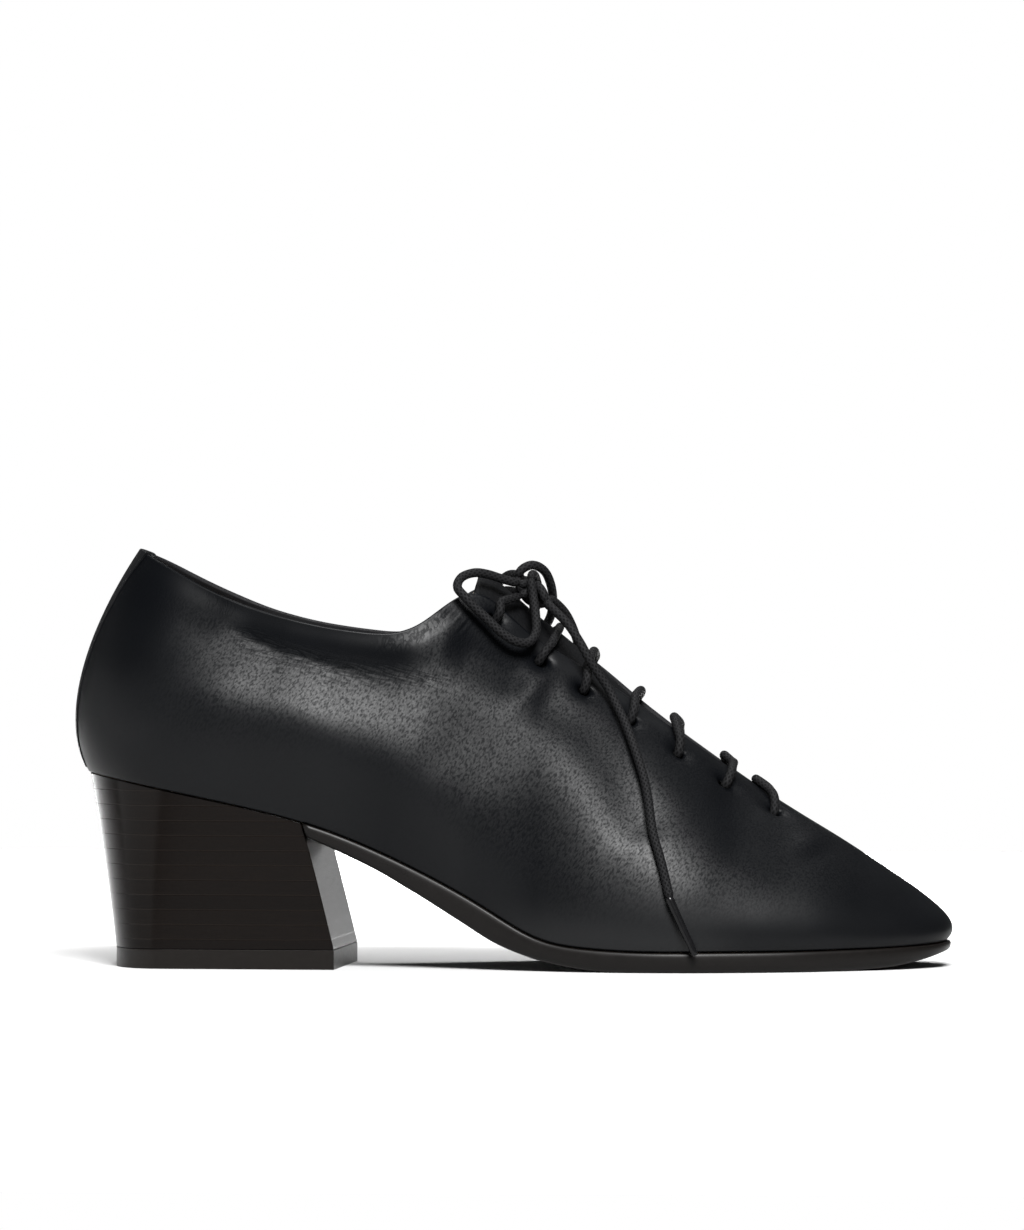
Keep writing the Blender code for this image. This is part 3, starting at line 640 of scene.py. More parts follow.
def puckers(tree, place, turn, pitch):
    """Height of even puckers, square to a direction turned about the shoe's side."""
    angle = math.radians(turn)
    across = shader_node(tree, "ShaderNodeVectorMath", {
        0: place, 1: (math.cos(angle), 0.0, math.sin(angle))}, operation="DOT_PRODUCT")
    return math_step(tree, "SINE", scaled(tree, across.outputs["Value"], 2 * math.pi / (pitch * MM)))


# Finish of the upper: a glaze that is worn off in the furrows and in the matt places
GLAZE = 0.31
GLAZE_ROUGHNESS = 0.4
GLAZE_WORN = 0.72
FURROW_MATT = 0.15
MOTTLE_ROUGHNESS = 0.04


def leather(name, colour, light_colour, roughness, cell, depth, relief=(), gloss=0.17):
    """Grained leather; relief adds a glaze, and heights by attributes of the piece."""
    material, tree, shader = new_material(name, colour, roughness, gloss)
    place = object_place(tree)
    height, furrow = grain(tree, place, cell)
    mottle = cloud(tree, place, 55.0, 3.0)
    if relief:
        strength = attribute(tree, "grain")
        height = scaled(tree, height, strength)
        furrow = scaled(tree, furrow, strength)
        worn = [furrow]
        for label, deep, make in relief:
            raised = make(tree, place)
            share = attribute(tree, label)
            height = math_step(tree, "MULTIPLY_ADD", scaled(tree, raised, share), deep / depth, height)
            worn.append(scaled(tree, value_range(tree, raised, 1.0, 0.0), share))
        glaze = scaled(tree, attribute(tree, "polish"), GLAZE)
        for mask in worn:
            glaze = scaled(tree, glaze, value_range(tree, mask, 1.0, 1.0 - GLAZE_WORN))
        feed(tree, shader, {"Coat Roughness": GLAZE_ROUGHNESS, "Coat Weight": glaze})
    tone = colour_mix(tree, mottle, opaque(colour), opaque(light_colour))
    rough = value_range(tree, mottle, roughness - MOTTLE_ROUGHNESS, roughness + MOTTLE_ROUGHNESS)
    rough = math_step(tree, "MULTIPLY_ADD", furrow, FURROW_MATT, rough)
    finish_shader(tree, shader, tone, rough, height, depth, 1.0)
    return material


UPPER_RELIEF = [
    ("wrinkle", 0.12, lambda tree, place: wrinkles(tree, place, 14.0, 12.0, 1.6)),
    ("gather", 0.10, lambda tree, place: wrinkles(tree, place, 98.0, 5.0, 1.6)),
    ("pucker", 0.16, lambda tree, place: puckers(tree, place, -40.0, 2.1)),
]
UPPER_LEATHER = leather("upper_leather", (0.0008, 0.0010, 0.0014), (0.0013, 0.0016, 0.0022),
                        0.55, 0.5, 0.06, UPPER_RELIEF, 0.03)
TONGUE_LEATHER = leather("tongue_leather", (0.0013, 0.0014, 0.0017), (0.0021, 0.0022, 0.0026),
                         0.62, 0.9, 0.04, (), 0.07)
LINING_LEATHER = leather("lining_leather", (0.34, 0.27, 0.20), (0.41, 0.33, 0.25), 0.6, 0.7, 0.03)
EDGE_LEATHER = leather("edge_leather", (0.008, 0.008, 0.0088), (0.012, 0.012, 0.0128),
                       0.55, 0.9, 0.02, (), 0.06)
STRIP_LEATHER = leather("strip_leather", (0.0018, 0.002, 0.0025), (0.0027, 0.003, 0.0036), 0.40, 1.1, 0.03)
INSOLE_LEATHER = leather("insole_leather", (0.22, 0.155, 0.10), (0.27, 0.195, 0.125), 0.55, 0.8, 0.02)


def dye_band(material, colour):
    """Dyes the leather where the piece's band attribute is set."""
    tree = material.node_tree
    shader = tree.nodes["Principled BSDF"]
    plain = shader.inputs["Base Color"].links[0].from_socket
    feed(tree, shader, {"Base Color": colour_mix(tree, attribute(tree, "band"), plain, opaque(colour))})


dye_band(LINING_LEATHER, (0.0034, 0.0034, 0.004))

BRAID_PITCH = 1.7
BRAID_STRANDS = 6


def braided_cord():
    """Waxed round braid: two sets of strands crossing on the cord's own UV map, with painted shade making the
    colour darker in the grooves between the strands and lighter on their crests.
    """
    material, tree, shader = new_material("lace_cord", (0.004, 0.004, 0.0045), 0.5, 0.07)
    cord_map = shader_node(tree, "ShaderNodeTexCoord").outputs["UV"]
    where = shader_node(tree, "ShaderNodeSeparateXYZ", {0: cord_map})
    along = scaled(tree, where.outputs["X"], 2 * math.pi / BRAID_PITCH)
    around = scaled(tree, where.outputs["Y"], 2 * math.pi * BRAID_STRANDS)
    waves = [math_step(tree, "SINE", math_step(tree, way, along, around)) for way in ("ADD", "SUBTRACT")]
    high = math_step(tree, "MAXIMUM", *waves)
    strand = value_range(tree, high, 0.0, 1.0, -0.6, 1.0)
    # Painted shade: the cord's colour is darker in the grooves between the strands and lighter on their
    # crests
    tone = colour_mix(tree, strand, opaque((0.0012, 0.0012, 0.0014)), opaque((0.0075, 0.0075, 0.008)))
    finish_shader(tree, shader, tone, value_range(tree, strand, 0.8, 0.62), high, 0.06, 0.8)
    return material


def moulded(name, colour, light_colour, roughness, scale, depth):
    """Moulded rubber or plastic with a faint mottle."""
    material, tree, shader = new_material(name, colour, roughness, 0.19)
    mottle = cloud(tree, object_place(tree), scale, 4.0, 0.6)
    tone = colour_mix(tree, mottle, opaque(colour), opaque(light_colour))
    rough = value_range(tree, mottle, roughness - 0.05, roughness + 0.08)
    finish_shader(tree, shader, tone, rough, mottle, depth, 0.6)
    return material


STACK_LAYER = 4.2
STACK_JOINT = 0.05
FIBRE_STRETCH = 18.0


def stacked_heel():
    """Polished stack: level layers of slightly different dark brown, with fine lighter joints."""
    material, tree, shader = new_material("heel_stack", (0.004, 0.003, 0.0025), 0.18, 0.11)
    place = object_place(tree)
    up = shader_node(tree, "ShaderNodeSeparateXYZ", {0: place}).outputs["Z"]
    wander = value_range(tree, cloud(tree, place, 30.0, 2.0), -0.06, 0.06)
    layer = math_step(tree, "MULTIPLY_ADD", up, 1 / (STACK_LAYER * MM), wander)
    seam = smooth_rise(tree, math_step(tree, "PINGPONG", math_step(tree, "FRACT", layer), 0.5), STACK_JOINT)
    number = math_step(tree, "FLOOR", layer)
    shade = shader_node(tree, "ShaderNodeTexWhiteNoise", {"W": number}, noise_dimensions="1D")
    drawn = shader_node(tree, "ShaderNodeMapping", {"Vector": place, "Scale": (1.0, 1.0, FIBRE_STRETCH)})
    fibre = cloud(tree, drawn.outputs["Vector"], 120.0, 4.0, 0.65)
    mixed = scaled(tree, fibre, value_range(tree, shade.outputs["Value"], 0.7, 1.2))
    layers = colour_mix(tree, mixed, opaque((0.0011, 0.0007, 0.0006)), opaque((0.0040, 0.0026, 0.0019)))
    tone = colour_mix(tree, seam, opaque((0.0062, 0.0045, 0.0035)), layers)
    height = math_step(tree, "MULTIPLY_ADD", fibre, 0.15, seam)
    finish_shader(tree, shader, tone, value_range(tree, fibre, 0.14, 0.24), height, 0.02, 0.7)
    return material


LACE_CORD = braided_cord()
AGLET_PLASTIC = moulded("aglet_plastic", (0.0028, 0.0028, 0.0031), (0.0042, 0.0042, 0.0046),
                        0.22, 900.0, 0.01)
LIFT_RUBBER = moulded("lift_rubber", (0.0038, 0.0030, 0.0025), (0.0062, 0.0049, 0.0041), 0.36, 700.0, 0.03)
SOLE_EDGE = moulded("sole_edge", (0.0015, 0.0011, 0.0009), (0.0029, 0.0021, 0.0017), 0.42, 260.0, 0.05)
HEEL_STACK = stacked_heel()


# Upper

UPPER_COLUMNS = 232
UPPER_ROWS = 70

# Lower limit of the grain by place along the shoe: below it the leather is drawn smooth
GRAIN_X = (-130.0, -92.0, -49.8, -24.4, -7.5, 15.0, 130.0)
GRAIN_Z = (74.0, 66.4, 63.6, 51.0, 34.1, 17.2, 15.0)

# Polish left on the leather by place along the shoe, above the smooth strip at the sole
POLISH_X = (-50.0, -34.0, -14.0, 8.0, 26.0, 40.0, 58.0, 72.0, 84.0, 98.0)
POLISH = (1.0, 0.75, 1.0, 0.33, 0.72, 0.7, 0.28, 0.6, 1.1, 0.35)

# Dull places on the outer side: the share of polish lost, widths above and below a line, and its ease
Dull = namedtuple("Dull", "name share above below ease points")
DULL_PLACES = [
    Dull("band at the collar", 0.85, 5.0, 4.0, 8.0, COLLAR_BAND),
    Dull("hollow below the bow", 0.9, 7.0, 7.5, 4.0,
         [(-17.0, 97.0), (-12.0, 93.5), (-6.0, 90.5), (1.0, 87.5), (8.0, 85.0)]),
    Dull("back of the collar", 0.85, 12.0, 12.0, 8.0,
         [(-114.0, 112.0), (-100.0, 107.0), (-91.0, 103.2), (-84.0, 99.5), (-76.0, 95.5)]),
]
DULL_COUNTER = 0.55
EYELET_DULL = 0.8
EYELET_DULL_WIDTH = 3.6
LEAST_GRAIN = 0.06

# Puckered corner below the throat, on the outer side
PUCKER_LINE = [(-20.5, 103.5), (-16.0, 100.5), (-10.5, 95.5)]


def upper_columns():
    """Side and place u of each column, round the shoe from the heel back to itself."""
    places = spread(0.0, LAST_ROW, UPPER_COLUMNS)
    return [(OUTER, u) for u in places] + [(INNER, u) for u in places[-2::-1]]


def wall_heights(count):
    """Heights v from sole to top edge, closer together at both ends."""
    return [t - 0.35 * math.sin(2 * math.pi * t) / (2 * math.pi) for t in spread(0.0, 1.0, count)]


def leather_marks(points, places, below_edge):
    """How strong each mark of the leather is at the points, by attribute name."""
    x, z = points[..., 0], points[..., 2]
    parts = {OUTER: slice(0, UPPER_COLUMNS), INNER: slice(UPPER_COLUMNS, None)}

    def on_side(side, line, above, below, ease):
        share = np.zeros(x.shape)
        share[parts[side]] = near_line(points[parts[side]], line, above, below, ease)
        return share

    collar = 1 - fade(CORNER_ROW - 0.6, CORNER_ROW + 0.2, places)
    facing = between(CORNER_ROW + 0.5, CORNER_ROW + 1.2, VAMP_ROW - 0.8, VAMP_ROW, places)
    smooth_edge = facing * (1 - fade(3.0, 8.0, below_edge))
    band = on_side(OUTER, COLLAR_BAND, 5.0, 4.0, 8.0)
    grained = fade(-6.0, 12.0, z - np.interp(x, GRAIN_X, GRAIN_Z)) * between(-112.0, -78.0, 86.0, 112.0, x)
    grained *= (1 - 0.8 * collar * (1 - fade(5.0, 9.0, below_edge))) * (1 - smooth_edge) * (1 - 0.75 * band)
    wrinkle = on_side(OUTER, COLLAR_CREASE[2:], 2.6, 5.0, 10.0) + on_side(INNER, INNER_CREASE, 2.6, 5.0, 10.0)
    on_roll = collar * between(0.2, 1.5, 4.0, 8.0, below_edge)
    gathered = between(-42.0, -32.0, -18.0, -12.0, x) + 0.5 * between(-88.0, -84.0, -80.0, -74.0, x)
    low = between(-12.0, 8.0, 50.0, 70.0, x) * (1 - fade(26.0, 46.0, z))
    polish = (1 - (1 - np.interp(x, POLISH_X, POLISH)) * fade(6.0, 22.0, z)) * (1 + 0.8 * low)
    polish *= 1 + 0.9 * smooth_edge
    for dull in DULL_PLACES:
        polish *= 1 - dull.share * on_side(OUTER, dull.points, dull.above, dull.below, dull.ease)
    counter = (1 - fade(-92.0, -74.0, x)) * fade(78.0, 90.0, z)
    polish[parts[OUTER]] *= 1 - DULL_COUNTER * counter[parts[OUTER]]
    for side, part in parts.items():
        for near in near_eyelets(side, points[part], EYELET_DULL_WIDTH):
            polish[part] *= 1 - EYELET_DULL * near
    dyed = (1 - fade(8.6, 9.4, below_edge)) * (1 - fade(CORNER_ROW - 0.55, CORNER_ROW - 0.45, places))
    return {
        "grain": LEAST_GRAIN + (1 - LEAST_GRAIN) * grained,
        "wrinkle": wrinkle,
        "gather": on_roll * gathered,
        "pucker": on_side(OUTER, PUCKER_LINE, 2.2, 2.2, 2.5),
        "polish": polish,
        "band": dyed,
    }


def shaped_upper():
    """Points of the folded outside of the upper, a column per place round the shoe."""
    columns = upper_columns()
    heights = np.array(wall_heights(UPPER_ROWS))[:, None]
    points = np.array([bezier(wall_curve(side, u), heights) for side, u in columns]) + CENTRE
    normals = grid_normals(points, True)
    split = UPPER_COLUMNS
    height = np.concatenate([fold_height(OUTER, points[:split]), fold_height(INNER, points[split:])])
    places = np.array([u for _, u in columns])[:, None]
    lengths = np.linalg.norm(np.diff(points, axis=1), axis=-1)
    below_edge = np.zeros(points.shape[:2])
    below_edge[:, :-1] = np.cumsum(lengths[:, ::-1], axis=1)[:, ::-1]
    on_collar = (1 - fade(CORNER_ROW - 0.5, CORNER_ROW + 1.0, places)) * (0.2 + 0.8 * fade(1.2, 2.6, places))
    height -= COLLAR_ROLL * on_collar * np.exp(-(below_edge / COLLAR_ROLL_WIDTH) ** 2)
    on_ridge = fade(VAMP_ROW - 0.8, VAMP_ROW, places) * (1 - fade(0.0, 9.0, below_edge))
    at_sole = fade(0.0, 8.0, points[..., 2] - points[:, :1, 2])
    height *= (1 - on_ridge) * at_sole
    return points + normals * height[..., None], leather_marks(points, places, below_edge)


def cut_eyelet(bm, side, index):
    """Opens one round eyelet in the sheet."""
    u, v = eyelet(side, index)
    normal = Vector(wall_normal(side, u, v))
    aim = Vector(wall_point(side, u, v) + CENTRE) * MM
    near = [f for f in bm.faces if (f.calc_center_median() - aim).length < 4 * EYELET_RADIUS * MM]
    centre = min(near, key=lambda f: (f.calc_center_median() - aim).length).calc_center_median()
    inside = [f for f in near if (f.calc_center_median() - centre).length < EYELET_RADIUS * MM]
    bmesh.ops.delete(bm, geom=inside, context="FACES")
    rim = {v for f in near if f.is_valid for e in f.edges if e.is_boundary for v in e.verts}
    for vert in rim:
        reach = vert.co - centre
        reach -= normal * reach.dot(normal)
        if reach.length < 2 * EYELET_RADIUS * MM:
            vert.co = centre + reach.normalized() * EYELET_RADIUS * MM


def build_upper():
    points, marks = shaped_upper()
    bm = grid_mesh(points)
    for label, strength in marks.items():
        layer = bm.verts.layers.float.new(label)
        columns = len(strength)
        for index, vert in enumerate(bm.verts):
            vert[layer] = strength[index % columns, index // columns]
    weld(bm, 0.02)
    for side in (OUTER, INNER):
        for index in range(EYELET_COUNT):
            cut_eyelet(bm, side, index)
    leathers = [UPPER_LEATHER, LINING_LEATHER, EDGE_LEATHER]
    wall = add_wall(finish_piece("upper_skin", bm, leathers, ["upper"]), WALL, -1)
    wall.use_even_offset = True
    wall.use_quality_normals = True
    wall.material_offset = 1
    wall.material_offset_rim = 2


# Sole, insole and heel

BREAST_SLANT = math.tan(HEEL_TURN)
SOLE_SECTIONS = 160
LEANING_SHARE = 5 / 44
SOLE_ACROSS = 14
INSOLE_SECTIONS = 150
INSOLE_ACROSS = 15
INSOLE_INSET = WALL + GAP + 0.3
INSOLE_LIFT = 0.05
INSOLE_CROWN = 0.25
HEEL_SEAT_INSET = 0.5
HEEL_SIDE_POINTS = 61
HEEL_SIDE_SHARE = 0.45
HEEL_LEVELS = 40
HEEL_ACROSS = 14
EDGE_ROUND = 0.3
LIFT_ROUND = 0.12
LIFT_JOINT = 0.06

# Edge of the sole: how far out of its step, and how far down its thickness
SoleEdge = namedtuple("SoleEdge", "out share")
SOLE_EDGE_PROFILE = [SoleEdge(*row) for row in (
    (-4.0, 0.0), (-0.45, 0.0), (-0.12, 0.02), (0.08, 0.08),
    (0.22, 0.2), (0.26, 0.38), (0.18, 0.58), (-0.04, 0.77),
    (-0.4, 0.91), (-0.95, 0.98), (-1.6, 1.0),
)]


def breast_row(side, ahead=0.0):
    """The place u where the heel breast crosses the foot outline."""
    x = HEEL_BREAST_X
    for _ in range(12):
        u = row_at_foot_x(side, x)
        y = ring_values(side, u)[0][1]
        x = HEEL_BREAST_X + BREAST_SLANT * y + ahead
    return row_at_foot_x(side, x)


def sole_side(side, u, lean):
    """The sole's edge on one side, from its top down to its underside."""
    top = foot_point(side, u, SOLE_STEP, -GAP)
    low = foot_point(side, u, SOLE_STEP + SOLE_EDGE_PROFILE[-1].out)
    thick = top[2] - eased(SOLE_BOTTOM, low[0])
    line = []
    for out, share in SOLE_EDGE_PROFILE:
        point = foot_point(side, u, SOLE_STEP + out)
        point[2] = top[2] - share * thick
        point[0] += lean * share * thick
        line.append(point)
    return line


def sole_ring(outer_u, inner_u, lean):
    """One closed section of the sole."""
    outer = sole_side(OUTER, outer_u, lean)
    inner = sole_side(INNER, inner_u, lean)
    across = []
    for t in spread(0.0, 1.0, SOLE_ACROSS)[1:-1]:
        point = outer[-1] * (1 - t) + inner[-1] * t
        if lean == 0:
            point[2] = eased(SOLE_BOTTOM, point[0])
        across.append(point)
    return outer + across + inner[::-1] + outer[:1]


def closed_loft(rings):
    """A closed solid through rings that each end where they begin."""
    return close_ends(grid_mesh(np.array(rings) + CENTRE))


def round_edges(obj, width, angle=35.0):
    rounding = obj.modifiers.new("rounding", "BEVEL")
    rounding.width = width * MM
    rounding.segments = 3
    rounding.limit_method = "ANGLE"
    rounding.angle_limit = math.radians(angle)
    rounding.harden_normals = True


def build_outsole():
    outer = spread(breast_row(OUTER, 2 * GAP), LAST_ROW, SOLE_SECTIONS)
    inner = spread(breast_row(INNER, 2 * GAP), LAST_ROW, SOLE_SECTIONS)
    rings = []
    for i, (a, b) in enumerate(zip(outer, inner)):
        lean = BREAST_LEAN * max(0.0, 1 - i / (LEANING_SHARE * SOLE_SECTIONS))
        rings.append(sole_ring(a, b, lean))
    finish_piece("sole_finished", closed_loft(rings), [SOLE_EDGE], ["outsole"])


def build_insole():
    up = np.array([0.0, 0.0, INSOLE_THICK])
    rings = []
    for u in spread(0.0, LAST_ROW, INSOLE_SECTIONS):
        outer, inner = (foot_point(side, u, -INSOLE_INSET, INSOLE_LIFT) for side in (OUTER, INNER))
        top = [outer * (1 - t) + inner * t + up * (1 - INSOLE_CROWN * abs(2 * t - 1) ** 6)
               for t in spread(0.0, 1.0, INSOLE_ACROSS)]
        rings.append([outer] + top + [inner, outer])
    finish_piece("sock_lining", closed_loft(rings), [INSOLE_LEATHER], ["insole"])


def heel_seat_ring():
    """Top edge of the heel, from the breast round the back to the breast."""
    sides = []
    for side in (OUTER, INNER):
        us = spread(breast_row(side), 0.0, HEEL_SIDE_POINTS)
        sides.append([foot_point(side, u, -HEEL_SEAT_INSET, -GAP) for u in us])
    return sides[0] + sides[1][-2::-1]


def heel_base_ring(height, inset=0.0):
    """Foot of the heel: flat sides, rounded back, square breast."""
    along = np.array([math.cos(HEEL_TURN), -math.sin(HEEL_TURN)])
    across = np.array([math.sin(HEEL_TURN), math.cos(HEEL_TURN)])
    straight = HEEL_BASE_LENGTH - HEEL_BASE_ROUND
    half = HEEL_BASE_WIDTH / 2 - inset
    reach = HEEL_BASE_ROUND - inset
    outer = []
    for t in spread(0.0, 1.0, HEEL_SIDE_POINTS):
        if t < HEEL_SIDE_SHARE:
            outer.append((-straight * t / HEEL_SIDE_SHARE - inset * (1 - t / HEEL_SIDE_SHARE), -half))
        else:
            angle = (t - HEEL_SIDE_SHARE) / (1 - HEEL_SIDE_SHARE) * math.pi / 2
            outer.append((-straight - reach * math.sin(angle) ** 0.9, -half * abs(math.cos(angle)) ** 0.9))
    both = outer + [(s, -r) for s, r in outer[-2::-1]]
    middle = np.array(HEEL_BASE_MIDDLE)
    return [np.array([*(middle + s * along + r * across), height]) for s, r in both]


def breast_closed(ring):
    """The ring with its breast side divided and closed."""
    return ring + [ring[-1] * (1 - t) + ring[0] * t for t in spread(0.0, 1.0, HEEL_ACROSS)[1:]]


def build_heel():
    top = heel_seat_ring()
    base = heel_base_ring(LIFT_HEIGHT + LIFT_JOINT)
    rings = []
    for level in spread(0.0, 1.0, HEEL_LEVELS):
        curve = level ** 0.92
        ring = [a * (1 - level) + b * level + (b - a) * np.array([1, 1, 0]) * (curve - level)
                for a, b in zip(top, base)]
        rings.append(breast_closed(ring))
    obj = finish_piece("heel_stack", closed_loft(rings), [HEEL_STACK], ["heel"])
    round_edges(obj, EDGE_ROUND)


def build_top_lift():
    rings = [breast_closed(heel_base_ring(z)) for z in spread(LIFT_HEIGHT, 0.0, 4)]
    obj = finish_piece("heel_lift", closed_loft(rings), [LIFT_RUBBER], ["top_lift"])
    round_edges(obj, LIFT_ROUND)


# Tongue and back strip

TONGUE_TOP_X = -9.5
TONGUE_FOOT_X = 74.0
TONGUE_COLUMNS = 84
TONGUE_HEM = 16.0
TONGUE_EDGE = 0.6
TONGUE_DEPTH = WALL + GAP + 0.25
TONGUE_SIDE_ROWS = 14
TONGUE_BEND_ROWS = 13

# How far the tongue swells up between the facings, by the place along the shoe
SWELL_X = (-9.5, -5.0, 3.0, 14.0, 24.0, 36.0, 46.0)
TONGUE_SWELL = (0.4, 2.0, 2.6, 2.2, 1.6, 0.6, 0.0)


def under_facing(side, x):
    """Points below the folded facing at x, from the tongue's hem up to the facing's edge."""
    u = row_at_top_x(side, x)
    line = []
    for distance in spread(TONGUE_HEM, TONGUE_EDGE, TONGUE_SIDE_ROWS):
        v = height_below_edge(side, u, distance)
        line.append(off_wall(side, u, v, -TONGUE_DEPTH))
    return line


def build_tongue():
    columns = []
    for x in spread(TONGUE_TOP_X, TONGUE_FOOT_X, TONGUE_COLUMNS):
        left = under_facing(OUTER, x)
        right = under_facing(INNER, x)
        reach = np.linalg.norm(right[-1] - left[-1]) / 3
        left_way = unit(left[-1] - left[-2])
        right_way = unit(right[-1] - right[-2])
        swell = np.array([0.0, 0.0, np.interp(x, SWELL_X, TONGUE_SWELL)])
        bend = [left[-1], left[-1] + left_way * reach + swell,
                right[-1] + right_way * reach + swell, right[-1]]
        arch = [bezier(bend, t) for t in spread(0.0, 1.0, TONGUE_BEND_ROWS)[1:-1]]
        columns.append(left + arch + right[::-1])
    points = np.array(columns) + CENTRE
    normals = grid_normals(points, False)
    normals *= np.sign(normals[..., 2:3].mean())
    rows = TONGUE_SIDE_ROWS
    height = np.zeros(points.shape[:2])
    height[:, :rows] = fold_height(OUTER, points[:, :rows])
    height[:, -rows:] = fold_height(INNER, points[:, -rows:])
    middle = np.arange(rows, points.shape[1] - rows)
    share = (middle - rows + 1) / (len(middle) + 1)
    height[:, middle] = height[:, rows - 1:rows] * (1 - share) + height[:, -rows:-rows + 1] * share
    bm = grid_mesh(points + normals * np.minimum(height, 0.1)[..., None])
    if bm.faces[:][0].normal.z < 0:
        bmesh.ops.reverse_faces(bm, faces=bm.faces)
    obj = finish_piece("tongue_leather", bm, [TONGUE_LEATHER], ["tongue"])
    add_wall(obj, TONGUE_THICK, -1)


STRIP_COLUMNS = 25
STRIP_FOOT = 0.03
STRIP_END = 0.88
STRIP_ROUND = 0.22


def strip_place(share, v):
    """Side and place u of a point across the back strip, share from -1 to 1."""
    half = STRIP_HALF_FOOT + (STRIP_HALF_TOP - STRIP_HALF_FOOT) * v
    side = OUTER if share < 0 else INNER
    per_row = np.linalg.norm(wall_point(side, 0.3, v) - wall_point(side, 0.0, v)) / 0.3
    return side, abs(share) * half / per_row


def strip_column(share):
    """One line of the back strip, from the sole up, over the top edge and down inside."""
    column = []
    for v in spread(STRIP_FOOT, 1.0, 48):
        side, u = strip_place(share, v)
        column.append(off_wall(side, u, v, GAP))
    side, u = strip_place(share, 1.0)
    edge = wall_point(side, u, 1.0)
    normal = wall_normal(side, u, 1.0)
    up = unit(edge - wall_point(side, u, 0.97))
    for angle in spread(10.0, 170.0, 8):
        turn = math.radians(angle)
        reach = (WALL / 2 + GAP) * math.cos(turn)
        column.append(edge + (reach - WALL / 2) * normal + (GAP + 0.2) * math.sin(turn) * up)
    for v in spread(0.99, STRIP_END, 8):
        side, u = strip_place(share, v)
        column.append(off_wall(side, u, v, -WALL - GAP))
    return column


def build_back_strip():
    columns = [strip_column(share) for share in spread(-1.0, 1.0, STRIP_COLUMNS)]
    bm = grid_mesh(np.array(columns) + CENTRE)
    low = min(bm.faces, key=lambda f: f.calc_center_median().z)
    if low.normal.x > 0:
        bmesh.ops.reverse_faces(bm, faces=bm.faces)
    obj = finish_piece("back_strip_leather", bm, [STRIP_LEATHER], ["back_strip"])
    add_wall(obj, STRIP_THICK, 1)
    round_edges(obj, STRIP_ROUND, 50.0)


# Lace

LACE_SIDES = 14
LACE_STEP = 0.8
AGLET_STEP = 0.5
CORD_ENDS = (0.6, 0.9)
AGLET_ENDS = (0.72, 0.93)
BAR_CLEAR = LACE_RADIUS + 0.35
BAR_END = 2.7
BAR_SUNK = 0.4

NARROW_THROAT = 8.0

# How each bar crosses the throat: its lean along the shoe at the outer edge, at the crest and at the
# inner edge, and the crest's height over the edges
Bar = namedtuple("Bar", "near crest far rise")
BARS = [Bar(*row) for row in (
    (-2.4, -4.8, -3.2, -0.5), (1.6, 1.4, -1.2, -0.2), (-1.8, -2.6, -1.2, 1.0),
    (-0.4, 0.6, 0.4, 1.4), (-1.0, 0.0, 0.2, 2.6), (1.6, 3.2, 2.4, 3.0),
)]

# The bow's routes in the part's frame, in millimetres, each from the knot outward
OUTER_LEAD_TO = [(2.4, -4.6, 105.2)]
INNER_LEAD_TO = [(3.4, 5.8, 105.8)]
OUTER_LOOP = [
    (2.2, -4.6, 108.8), (-2.3, -6.6, 110.1), (-6.6, -8.8, 111.5), (-10.2, -11.0, 111.9),
    (-13.6, -13.6, 110.6), (-14.6, -16.4, 107.8), (-12.2, -18.0, 105.0), (-10.0, -18.2, 102.6),
    (-6.2, -18.2, 99.0), (-2.2, -18.2, 95.2), (1.8, -17.4, 92.6), (5.4, -15.2, 92.2),
    (7.4, -12.2, 95.0), (7.2, -9.0, 100.0), (6.4, -6.2, 105.0), (5.6, -5.4, 110.2),
]
INNER_LOOP = [
    (1.2, 1.6, 110.6), (3.0, 2.2, 113.0), (6.0, 3.8, 114.0), (9.0, 6.4, 112.2), (10.6, 9.4, 108.4),
    (11.0, 12.8, 103.8), (10.0, 17.4, 98.8), (7.0, 21.6, 95.0), (2.4, 24.6, 93.6), (-2.6, 25.6, 95.2),
    (-6.0, 24.4, 99.2), (-6.7, 21.2, 104.0), (-4.9, 16.9, 108.5), (-1.8, 12.2, 111.0), (0.8, 8.8, 111.2),
    (2.8, 6.4, 109.9),
]
OUTER_END = [
    (9.8, -4.2, 103.4), (12.0, -7.4, 101.6), (16.2, -10.2, 97.6), (19.8, -12.0, 92.4),
    (22.3, -12.8, 88.0), (25.2, -12.8, 83.4), (27.9, -12.8, 79.4), (30.2, -14.2, 74.8),
    (33.0, -17.2, 69.2), (36.0, -22.0, 61.7), (38.6, -26.6, 54.1), (39.9, -29.9, 48.1),
    (41.3, -34.2, 39.6), (43.9, -38.1, 30.9), (46.4, -41.0, 20.9),
]
OUTER_AGLET = [(46.5, -41.15, 20.4), (50.4, -42.3, 11.9), (53.6, -42.9, 5.2)]
INNER_END = [
    (10.4, 3.4, 104.6), (12.4, 6.8, 103.0), (14.9, 9.8, 100.0), (17.0, 12.4, 95.4), (18.2, 15.2, 90.4),
    (18.1, 19.5, 84.2), (18.0, 23.8, 76.4), (18.7, 27.1, 68.3), (20.3, 29.8, 60.0), (22.1, 32.1, 51.5),
    (24.3, 34.0, 43.0), (27.5, 36.0, 34.8), (31.1, 37.6, 26.4),
]
INNER_AGLET = [(31.25, 37.7, 25.9), (34.2, 39.0, 17.7), (36.5, 39.5, 10.6)]
